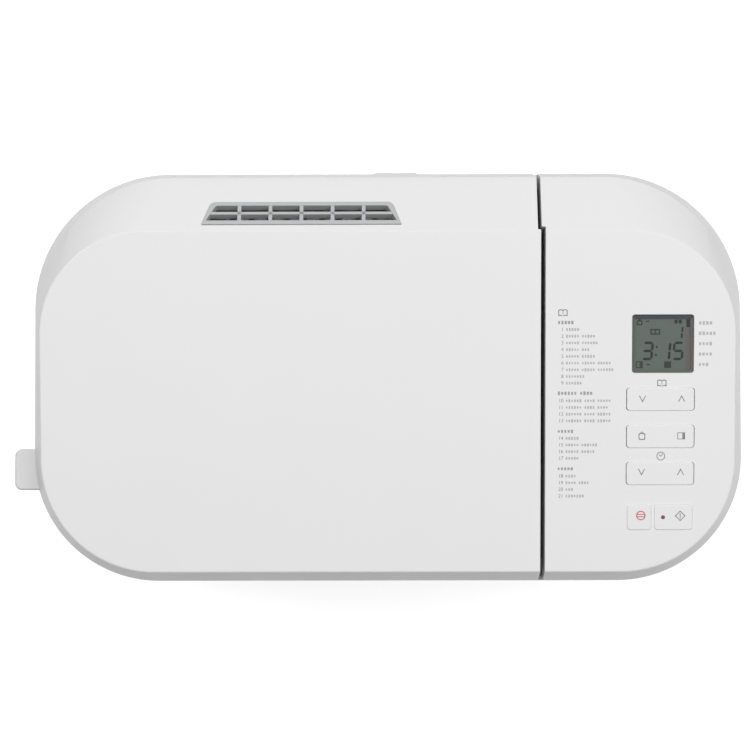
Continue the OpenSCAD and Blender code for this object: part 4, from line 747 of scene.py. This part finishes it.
gripBody = stack(gripPlan, softSteps(low, high, grip["soft"], 4))
stopPlate = block((grip["root"] - halfW, grip["y"] - grip["stopHalf"], low - 1),
                  (grip["root"] + grip["stop"] - halfW, grip["y"] + grip["stopHalf"], high + 1))
addPiece("lidGrip", [gripBody, stopPlate], "grip_grey", "lid", "lid_grip")


def keyCap(x, y, width, height, grow):
    # the cap grows to fill its hole as far as its motion allows
    half, depth, corner = width / 2 + grow[0], height / 2 + grow[1], keys["corner"] + grow[1]
    steps = [(0, -keys["depth"])] + [(inset, keys["proud"] - drop)
                                     for inset, drop in quarter(keys["edge"], 4)[::-1]]
    return stack(lambda g: boxPlan(half - g, depth - g, corner - g, 6), steps, onFace(x, y))


downMark = stroke([(-1.6, 1.5), (0, -1.5), (1.6, 1.5)], 0.5)
upMark = stroke([(-1.6, -1.5), (0, 1.5), (1.6, -1.5)], 0.5)
loafMark = stroke(boxPlan(1.6, 1.6, 0.7, 3), 0.5, True)
loafMark += shifted(ringMark(0, 0, 0.95, 0.5, 0, 180, 8), 0, 1.7)
crustMark = stroke(bar(-1.9, -1.7, 1.9, 1.7), 0.4, True) + [bar(0.6, -1.7, 1.9, 1.7)]
stopMark = ringMark(0, 0, 2.6, 2.0) + [bar(-2.3, 0.35, 2.3, 0.85), bar(-2.3, -0.85, 2.3, -0.35)]
startMark = stroke([(0, 2.6), (2.6, 0), (0, -2.6), (-2.6, 0)], 0.5, True) + [bar(-0.25, -1.4, 0.25, 1.4)]
keyMarks = {
    "menu_key": [(downMark, 139.7, -14.2), (upMark, 161.1, -14.2)],
    "size_crust_key": [(loafMark, 139.5, -34.8), (crustMark, 161.0, -34.5)],
    "timer_key": [(downMark, 139.4, -54.2), (upMark, 160.8, -54.2)],
    "stop_key": [(stopMark, 139.2, -78.1)],
    "start_key": [(startMark, 160.8, -78.3)],
}


def finishKey(body, node, parts):
    for part in parts:
        part.data.materials.append(slots["key_white"])
    shapes = [shape for mark, x, y in keyMarks[body] for shape in shifted(mark, x, y)]
    marks = flatMarks(shapes, prints["stopRed" if body == "stop_key" else "markGrey"],
                      keys["proud"] + 0.03)
    addPiece(body + "Cap", parts + [marks], "key_white", body, node)


rockerNodes = ("menu_rocker", "size_crust_rocker", "timer_rocker")
rockerBodies = ("menu_key", "size_crust_key", "timer_key")
inCap = 0.1 - keys["depth"]
for y, node, body in zip(keys["ys"], rockerNodes, rockerBodies):
    place = onFace(keys["x"], y)
    parts = [keyCap(keys["x"], y, keys["width"], keys["height"], keys["rockerGrow"])]
    web = block((-keys["lug"] / 2, -keys["webHalf"], -keys["pivot"] - keys["lugThick"]),
                (keys["lug"] / 2, keys["webHalf"], inCap), place)
    hole = rod(keys["pinHole"], -6, 6, onFace(keys["x"], y, keys["pivot"]), "Y")
    parts.append(booleanCut(web, hole))
    half, dip = keys["ribHalf"], keys["rib"] * math.sin(math.radians(keys["tilt"]))
    for side in (-1, 1):
        x = side * keys["rib"]
        parts.append(block((x - half, -half, dip + keys["gap"] - keys["switchDepth"]),
                           (x + half, half, inCap), place))
    finishKey(body, node, parts)

for node, body, x, width in pushKeys:
    place, out = onFace(x, keys["pushY"]), keys["flangeOut"]
    flangePlan = boxPlan(width / 2 + out, keys["pushHeight"] / 2 + out, keys["corner"], 6)
    flange = prism(flangePlan, -keys["depth"] - keys["flange"], -keys["depth"], place)
    stem = rod(keys["stem"], keys["press"] + keys["pushGap"] - keys["switchDepth"], -4, place)
    parts = [keyCap(x, keys["pushY"], width, keys["pushHeight"], keys["pushGrow"]), flange, stem]
    if body == "start_key":
        for part in parts[:2]:
            booleanCut(part, rod(keys["lampHole"], -8, 4,
                                 onFace(keys["lampX"], keys["pushY"]), steps=24))
    finishKey(body, node, parts)


listing = {
    "numberRight": 96.5, "words": 97.5, "heads": 93.05, "pitch": 1.5, "headPitch": 1.8, "step": -3.65,
    "numberSize": 2.75, "stageX": 170.0, "stageY": 27.0, "stageStep": -5.62, "stagePitch": 1.95,
    "groups": [  # heading height and words, first row height, words of each row
        (27.4, (5,), 23.6, [(5,), (5, 5), (5, 6), (5, 3), (5, 5), (5, 5, 5), (5, 5, 6), (7,), (6,)]),
        (-11.1, (6, 4), -15.2, [(6, 4, 5), (6, 4, 4), (6, 4, 5), (6, 4, 5)]),
        (-31.9, (5,), -35.7, [(5,), (5, 6), (5, 5), (5,)]),
        (-52.4, (5,), -56.4, [(4,), (4, 4), (3,), (7,)]),
    ],
    "stages": (4, 5, 4, 4, 3), "lift": 0.05, "seed": 7,
    "books": ((150.3, -5.6), (96.0, 32.7)), "clock": (150.0, -45.5),
}


def letterTree():
    # plain blocks in place of letters, strung along straight lines
    tree, given, end = newTree("letterBlocks", "Geometry", [
        ("Geometry", "Geometry", None), ("Pitch", "Float", 0.0015), ("Block Width", "Float", 0.001),
        ("Block Height", "Float", 0.0014), ("Tilt", "Float", 0.0), ("Seed", "Int", 0),
        ("Finish", "Material", None)], [("Geometry", "Geometry")])
    line = addNode(tree, "GeometryNodeMeshToCurve", {"Mesh": given["Geometry"]})
    points = addNode(tree, "GeometryNodeResampleCurve",
                     {"Curve": line.outputs[0], "Length": given["Pitch"]}, mode="LENGTH")
    tile = addNode(tree, "GeometryNodeMeshGrid", {"Vertices X": 2, "Vertices Y": 2,
                                                  "Size X": given["Block Width"],
                                                  "Size Y": given["Block Height"]})
    vary = addNode(tree, "FunctionNodeRandomValue", {0: (0.7, 0.75, 1.0), 1: (1.0, 1.3, 1.0),
                                                     "Seed": given["Seed"]}, data_type="FLOAT_VECTOR")
    turn = addNode(tree, "ShaderNodeCombineXYZ", {"X": given["Tilt"]})
    copies = addNode(tree, "GeometryNodeInstanceOnPoints", {
        "Points": points.outputs[0], "Instance": tile.outputs["Mesh"], "Rotation": turn.outputs[0],
        "Scale": vary.outputs[0]})
    endTree(tree, copies.outputs[0], given["Finish"], end)
    return tree


def wordLines(rows, startX, pitch):
    verts, edges = [], []
    for y, words in rows:
        x = startX + pitch / 2
        for count in words:
            for px in (x, x + (count - 1) * pitch):
                verts.append(toRow((px, y, faceZ(y) + listing["lift"])))
            edges.append((len(verts) - 2, len(verts) - 1))
            x += (count + 0.8) * pitch
    mesh = bpy.data.meshes.new("words")
    mesh.from_pydata(verts, edges, [])
    return mesh


letters = letterTree()
listRows = [(first + k * listing["step"], words) for head, title, first, rows in listing["groups"]
            for k, words in enumerate(rows)]
headRows = [(head, title) for head, title, first, rows in listing["groups"]]
stageRows = [(listing["stageY"] + k * listing["stageStep"], (n,))
             for k, n in enumerate(listing["stages"])]
printParts = []
for rows, startX, pitch, high, finish in (
        (listRows, listing["words"], listing["pitch"], 1.35, "listGrey"),
        (headRows, listing["heads"], listing["headPitch"], 1.6, "headGrey"),
        (stageRows, listing["stageX"], listing["stagePitch"], 1.6, "listGrey")):
    printParts.append(bakeTree(letters, {
        "Pitch": pitch / 1000 * 0.999, "Block Width": pitch * 0.72 / 1000, "Block Height": high / 1000,
        "Tilt": slopeAngle, "Seed": listing["seed"], "Finish": prints[finish]},
        wordLines(rows, startX, pitch)))
for number, (y, words) in enumerate(listRows, 1):
    text = bpy.data.curves.new("number", "FONT")
    text.body, text.size = str(number), listing["numberSize"]
    text.align_x, text.align_y = "RIGHT", "CENTER"
    textObject = newObject(text)
    flat = evaluatedMesh(textObject)
    bpy.data.objects.remove(textObject)
    for v in flat.vertices:
        px, py = v.co.x + listing["numberRight"], v.co.y + y
        v.co = toRow((px, py, faceZ(py) + listing["lift"]))
    flat.materials.clear()
    flat.materials.append(prints["markGrey"])
    printParts.append(newObject(flat))
bookMark = [part for side in (-1, 1) for part in
            stroke([(0, 1.1), (side * 0.7, 1.55), (side * 1.5, 1.6), (side * 2.3, 1.3),
                    (side * 2.3, -1.55), (side * 1.4, -1.35), (side * 0.45, -1.6)], 0.5)]
bookMark.append(bar(-0.18, -0.9, 0.18, 0.9))
clockMark = ringMark(0, 0, 2.4, 1.92) + stroke([(-0.8, 0.6), (0, 0), (1.0, 1.1)], 0.42)
coverMarks = [shape for x, y in listing["books"] for shape in shifted(bookMark, x, y)]
coverMarks += shifted(clockMark, *listing["clock"])
printParts.append(flatMarks(coverMarks, prints["markGrey"], listing["lift"]))
addPiece("coverPrint", printParts, "base_grey", "machine", smooth=0)

display = {
    "depth": 2.5, "halfX": 15.4, "halfY": 14.55, "corner": 0.8, "ink": 1.35, "slant": 0.093,
    "digits": [("3", 140.1, 145.0, 7.6, 16.4), ("1", 153.7, 154.6, 7.3, 16.6),
               ("5", 156.9, 161.7, 7.6, 16.4), ("1", 160.4, 161.4, 18.6, 25.3)],
    "inkBars": [(147.0, 13.6, 148.1, 14.7), (146.6, 9.2, 147.7, 10.3), (163.7, 24.9, 165.6, 29.3),
                (157.2, 26.9, 158.9, 29.0), (159.5, 26.9, 161.2, 29.0)],
    "faintFrames": [(136.8, 26.3, 139.3, 28.3, 0.6), (136.5, 2.9, 139.7, 6.1, 0.5),
                    (144.4, 21.2, 149.0, 23.6, 0.7)],
    "faintBars": [(137.4, 28.5, 138.7, 29.3), (141.6, 27.8, 143.4, 28.5), (142.0, 4.2, 144.0, 4.9),
                  (151.7, 2.7, 155.5, 6.3), (138.3, 2.9, 139.7, 6.1), (146.4, 21.2, 147.0, 23.6)],
    # both strips are painted shade: the bezel's shadow along the top and down the right of the display
    # face
    "topShadeStrip": (135.5, 29.2, 166.1, 30.2), "sideShadeStrip": (163.2, 1.4, 166.1, 29.2),
}
segments = {"3": "abcdg", "1": "bc", "5": "acdfg"}


def segmentDigit(sign, x0, x1, y0, y1):
    # straight-sided segments with small gaps, leaning a little to the right
    t, gap, middle = display["ink"], 0.12, (y0 + y1) / 2
    t = min(t, (y1 - y0) * 0.16)
    runs = {
        "a": ((x0, y1), (x1, y1)), "g": ((x0, middle), (x1, middle)), "d": ((x0, y0), (x1, y0)),
        "b": ((x1, middle), (x1, y1)), "c": ((x1, y0), (x1, middle)),
        "f": ((x0, middle), (x0, y1)), "e": ((x0, y0), (x0, middle)),
    }
    shapes = []
    for key in segments[sign]:
        (ax, ay), (bx, by) = runs[key]
        length = math.hypot(bx - ax, by - ay)
        ux, uy = (bx - ax) / length, (by - ay) / length
        h = t / 2
        sx, sy, tx, ty = ux * (gap + h), uy * (gap + h), uy * h, ux * h
        ends = [(ax + ux * gap, ay + uy * gap), (ax + sx - tx, ay + sy + ty),
                (bx - sx - tx, by - sy + ty), (bx - ux * gap, by - uy * gap),
                (bx - sx + tx, by - sy - ty), (ax + sx + tx, ay + sy - ty)]
        shapes.append([(x + (y - middle) * display["slant"], y) for x, y in ends])
    return shapes


inkLift = -display["depth"] + 0.09


def windowPlan(halfX, halfY, corner, steps):
    return [(lcd["x"] + x, lcd["y"] + y) for x, y in boxPlan(halfX, halfY, corner, steps)]


# sorts the border pieces: the top ones get the bezel's painted shadow in navy, the right ones its
# painted shade in grey-brown, the rest the frame colour
def borderPart(shape):
    x, y = sum(p[0] for p in shape) / 4 - lcd["x"], sum(p[1] for p in shape) / 4 - lcd["y"]
    if y > 14.2:
        return "displayTopShade"
    return "displaySideShade" if x > 15.0 else "displayEdge"


fullFace = windowPlan(display["halfX"], display["halfY"], display["corner"], 4)
ink = [shape for digit in display["digits"] for shape in segmentDigit(*digit)]
ink += [bar(*ends) for ends in display["inkBars"]]
faint = [shape for x0, y0, x1, y1, width in display["faintFrames"]
         for shape in stroke(bar(x0, y0, x1, y1), width, True)]
faint += [bar(*ends) for ends in display["faintBars"]]
# printed border on the back of the window, with painted shade of the bezel on its top and right pieces
outer = windowPlan(lcd["width"] / 2 - 0.25, lcd["height"] / 2 - 0.25, 1.3, 6)
inner = windowPlan(display["halfX"], display["halfY"], display["corner"], 6)
count = len(outer)
border = [[outer[k], outer[(k + 1) % count], inner[(k + 1) % count], inner[k]] for k in range(count)]
stripLift = -display["depth"] + 0.06
displayParts = [
    flatMarks([fullFace], prints["displayGreen"], -display["depth"] + 0.03),
    # painted shade of the bezel along the top
    flatMarks([bar(*display["topShadeStrip"])], prints["displayTopShade"], stripLift),
    # painted shade of the bezel down the right side
    flatMarks([bar(*display["sideShadeStrip"])], prints["displaySideShade"], stripLift),
    flatMarks(ink, prints["displayInk"], inkLift),
    flatMarks(faint, prints["displayFaint"], inkLift),
]
# the top and right border pieces carry painted shade, the others the plain frame colour
for finish in ("displayTopShade", "displaySideShade", "displayEdge"):
    shapes = [shape for shape in border if borderPart(shape) == finish]
    displayParts.append(flatMarks(shapes, prints[finish], 0.04 - lcd["depth"] - lcd["thick"]))
addPiece("displayFace", displayParts, "lcd_frame", "machine", smooth=0)

pan = {"halfX": 91.0, "halfY": 64.0, "height": 140.0, "taper": 5.0, "corner": 24.0, "wall": 1.6,
       "roll": 1.6, "ear": (9.0, 8.4, 3.0), "earIn": 0.6, "bush": 7.02, "pin": 2.02, "foot": 5.0}


def panRing(z, g, inset=0.0):
    lean = pan["taper"] * (1 - z / pan["height"])
    plan = boxPlan(pan["halfX"] - lean - g - inset, pan["halfY"] - lean - g - inset,
                   pan["corner"] - g - inset, 14)
    return [(x + oven["x"], y, oven["panZ"] + z) for x, y in plan]


rings = [panRing(drop, 0, inset) for inset, drop in quarter(pan["foot"], 5)]
roll = pan["roll"]
rings.append(panRing(pan["height"] - 2 * roll, 0))
for k in range(9):
    t = math.radians(-60 + 26 * k)
    rings.append(panRing(pan["height"] - roll + roll * math.sin(t), -roll * math.cos(t) * 0.98))
rings.append(panRing(pan["height"] - 2.2 * roll, pan["wall"]))
rings += [panRing(pan["wall"] + drop, pan["wall"], inset)
          for inset, drop in quarter(pan["foot"] - 1, 5)[::-1]]
breadPan = loft(rings)
booleanCut(breadPan, rod(pan["bush"], -1, 5, at(oven["x"], 0, oven["panZ"]), steps=40))
panParts = [breadPan]
for side in (-1, 1):
    ends = sorted((side * (pan["halfX"] - pan["earIn"]), side * (pan["halfX"] + roll)))
    ear = loft([[(x, y, z) for y, z in boxPlan(*pan["ear"], 6)] for x in ends],
               at(oven["x"], 0, oven["bailZ"] - 0.6))
    booleanCut(ear, rod(pan["pin"], -120, 120, at(oven["x"], 0, oven["bailZ"]), "X"))
    panParts.append(ear)
addPiece("breadPan", panParts, "nonstick_dark", "pan", "bread_pan", smooth=35)

lining = {"z": 307.0, "thick": 1.2, "rise": 17.0, "inset": (6.0, 7.0), "corner": 24.0, "soft": 5.0,
          "rear": 107.7, "fit": 0.3, "front": 4.15, "jog": (5.8, 2.9), "vents": 9, "ventY": 86.75,
          "ventPitch": 10.0, "ventHalf": (1.5, 5.0)}
low, high = lining["z"], lining["z"] + lining["thick"]
liningPlate = prism(casingPlan(casing["wall"] + lining["fit"]), low, high)
frontX, rearX = seam["x"] - lining["front"], seam["x"] - lining["jog"][0]
jogY = ridgeY - lining["jog"][1]
lidSide = [(-far, -far), (frontX, -far), (frontX, jogY), (rearX, jogY), (rearX, lining["rear"]),
           (-far, lining["rear"])]
booleanCut(liningPlate, prism(lidSide, low - 7, high + 6.8), "INTERSECT")


def domePlan(g):
    insetX, insetY = lining["inset"]
    plan = boxPlan(oven["halfX"] - insetX - g, oven["halfY"] - insetY - g, lining["corner"] - g, 12)
    return shifted([plan], oven["x"], 0)[0]


booleanCut(liningPlate, prism(domePlan(0.2), low - 3, low + 4))
crown, wall, soft = low + lining["rise"], lining["thick"], lining["soft"]
outerSteps = [(0, low + 0.1)] + [(g, crown + wall - drop) for g, drop in quarter(soft + wall, 5)[::-1]]
innerSteps = [(wall, low - 1)] + [(wall + g, crown - drop) for g, drop in quarter(soft, 5)[::-1]]
dome = booleanCut(stack(domePlan, outerSteps), stack(domePlan, innerSteps))
ventTools = []
for k in range(lining["vents"]):
    x = vent["x"] + (k - (lining["vents"] - 1) / 2) * lining["ventPitch"]
    slot = boxPlan(*lining["ventHalf"], lining["ventHalf"][0] - 0.01, 5)
    ventTools.append(prism(slot, low - 1, low + 3, at(x, lining["ventY"], 0)))
booleanCut(liningPlate, joinObjects(ventTools))
addPiece("lidLining", [liningPlate, dome], slotOf["lid_lining"], "lid", "lid_lining", smooth=35)

blade = {"z": 111.3, "hub": 9.0, "hubHigh": 25.0, "reach": 46.0, "high": 34.0, "thick": 5.0,
         "turn": 20.0, "bore": 4.05, "soft": 1.4, "shoulder": (38.0, 26.0), "tip": 18.0}
outline = [(0.0, 0.0), (blade["reach"], 0.0)]
for k in range(9):
    t = k / 8
    a, b, c = (1 - t) ** 2, 2 * t * (1 - t), t * t
    outline.append((a * blade["reach"] + b * blade["shoulder"][0] + c * blade["tip"],
                    a * blade["high"] * 0.25 + b * blade["shoulder"][1] + c * blade["high"]))
outline.append((0.0, blade["high"]))
bladeTurn = at(oven["x"], 0, blade["z"]) @ Matrix.Rotation(math.radians(blade["turn"]), 4, "Z")
fin = prism(outline, -blade["thick"] / 2, blade["thick"] / 2,
            bladeTurn @ Matrix.Rotation(math.radians(90), 4, "X"))
roundEdges(fin, blade["soft"], 60, 3)
hub, high = blade["hub"], blade["hubHigh"]
profile = [(hub, 0), (hub, high - 2), (hub - 0.6, high - 0.6), (hub - 2, high)]
kneadingBlade = turned(profile, place=bladeTurn)
booleanCut(kneadingBlade, fin, "UNION")
booleanCut(kneadingBlade, rod(blade["bore"], -1, high - 1, bladeTurn, steps=40))
addPiece("kneadingBlade", [kneadingBlade], slotOf["kneading_blade"], "blade", "kneading_blade",
         smooth=35)

for name, obj in nodes.items():
    if name not in replacedNodes:
        for matSlot in obj.material_slots:
            matSlot.material = slots[slotOf[name]]

room = {"floorHalf": 6.0, "floorColour": (0.78, 0.78, 0.78, 1), "sky": 0.2, "glow": 0.67,
        "glowFrom": 0.5, "glowTo": 2.5}
half = room["floorHalf"]
floorMesh = bpy.data.meshes.new("floor")
floorMesh.from_pydata([(x, y, 0) for x, y in bar(-half, -half, half, half)], [], [(0, 1, 2, 3)])
floor = newObject(floorMesh, "floor")

# a pale surface that keeps the shadow, lifted to white for the camera and for reflections
floorWhite = bpy.data.materials.new("floorWhite")
floorWhite.use_nodes = True
tree = floorWhite.node_tree
shader = tree.nodes["Principled BSDF"]
setInputs(tree, shader, {"Base Color": room["floorColour"], "Roughness": 0.9, "Specular IOR Level": 0.0})
rays = tree.nodes.new("ShaderNodeLightPath").outputs
seen = mathNode(tree, "MAXIMUM", rays["Is Camera Ray"],
                mathNode(tree, "MAXIMUM", rays["Is Glossy Ray"], rays["Is Transmission Ray"]))
# farther out, where the lamp fades, the lift grows until the floor meets the background
place = tree.nodes.new("ShaderNodeTexCoord").outputs["Object"]
distance = addNode(tree, "ShaderNodeVectorMath", {0: place}, operation="LENGTH").outputs["Value"]
growth = addNode(tree, "ShaderNodeMapRange", {
    "Value": distance, "From Min": room["glowFrom"], "From Max": room["glowTo"], "To Min": room["glow"],
    "To Max": 1.0})
lift = addNode(tree, "ShaderNodeEmission", {
    "Color": (1, 1, 1, 1), "Strength": mathNode(tree, "MULTIPLY", seen, growth.outputs["Result"])})
both = addNode(tree, "ShaderNodeAddShader", {0: shader.outputs[0], 1: lift.outputs[0]})
setInputs(tree, tree.nodes["Material Output"], {"Surface": both.outputs[0]})
floor.data.materials.append(floorWhite)

world = bpy.data.worlds.new("studio")
scene.world = world
world.use_nodes = True
tree = world.node_tree
rays = tree.nodes.new("ShaderNodeLightPath").outputs
seen = mathNode(tree, "MAXIMUM", rays["Is Camera Ray"], rays["Is Transmission Ray"])
strength = mathNode(tree, "ADD", mathNode(tree, "MULTIPLY", seen, 1 - room["sky"]), room["sky"])
setInputs(tree, tree.nodes["Background"], {"Color": (1, 1, 1, 1), "Strength": strength})

lamp = {"place": (0.12, 0.54, 2.6), "aim": (0.0, 0.0, 0.3), "size": (6.0, 1.6), "power": 88.5}
lampData = bpy.data.lights.new("overhead", "AREA")
lampData.shape = "RECTANGLE"
lampData.size, lampData.size_y = lamp["size"]
lampData.energy = lamp["power"]
overhead = newObject(lampData, "overhead")
overhead.location = lamp["place"]
direction = Vector(lamp["aim"]) - Vector(lamp["place"])
overhead.rotation_euler = direction.to_track_quat("-Z", "Y").to_euler()

view = {"lens": 130.9, "sensor": 36.0, "place": (0.008, -0.0767, 1.8429),
        "aim": (-0.0018, -0.0084, 0.345), "roll": -0.1}
cameraData = bpy.data.cameras.new("camera")
cameraData.sensor_fit = "HORIZONTAL"
cameraData.sensor_width = view["sensor"]
cameraData.lens = view["lens"]
camera = newObject(cameraData, "camera")
camera.location = view["place"]
forward = (Vector(view["aim"]) - Vector(view["place"])).normalized()
right = forward.cross(Vector((0, 1, 0))).normalized()
turn = Matrix((right, right.cross(forward), -forward)).transposed()
camera.rotation_euler = (turn @ Matrix.Rotation(math.radians(view["roll"]), 3, "Z")).to_euler()
scene.camera = camera
scene.view_settings.view_transform = "Standard"
print("room ready")
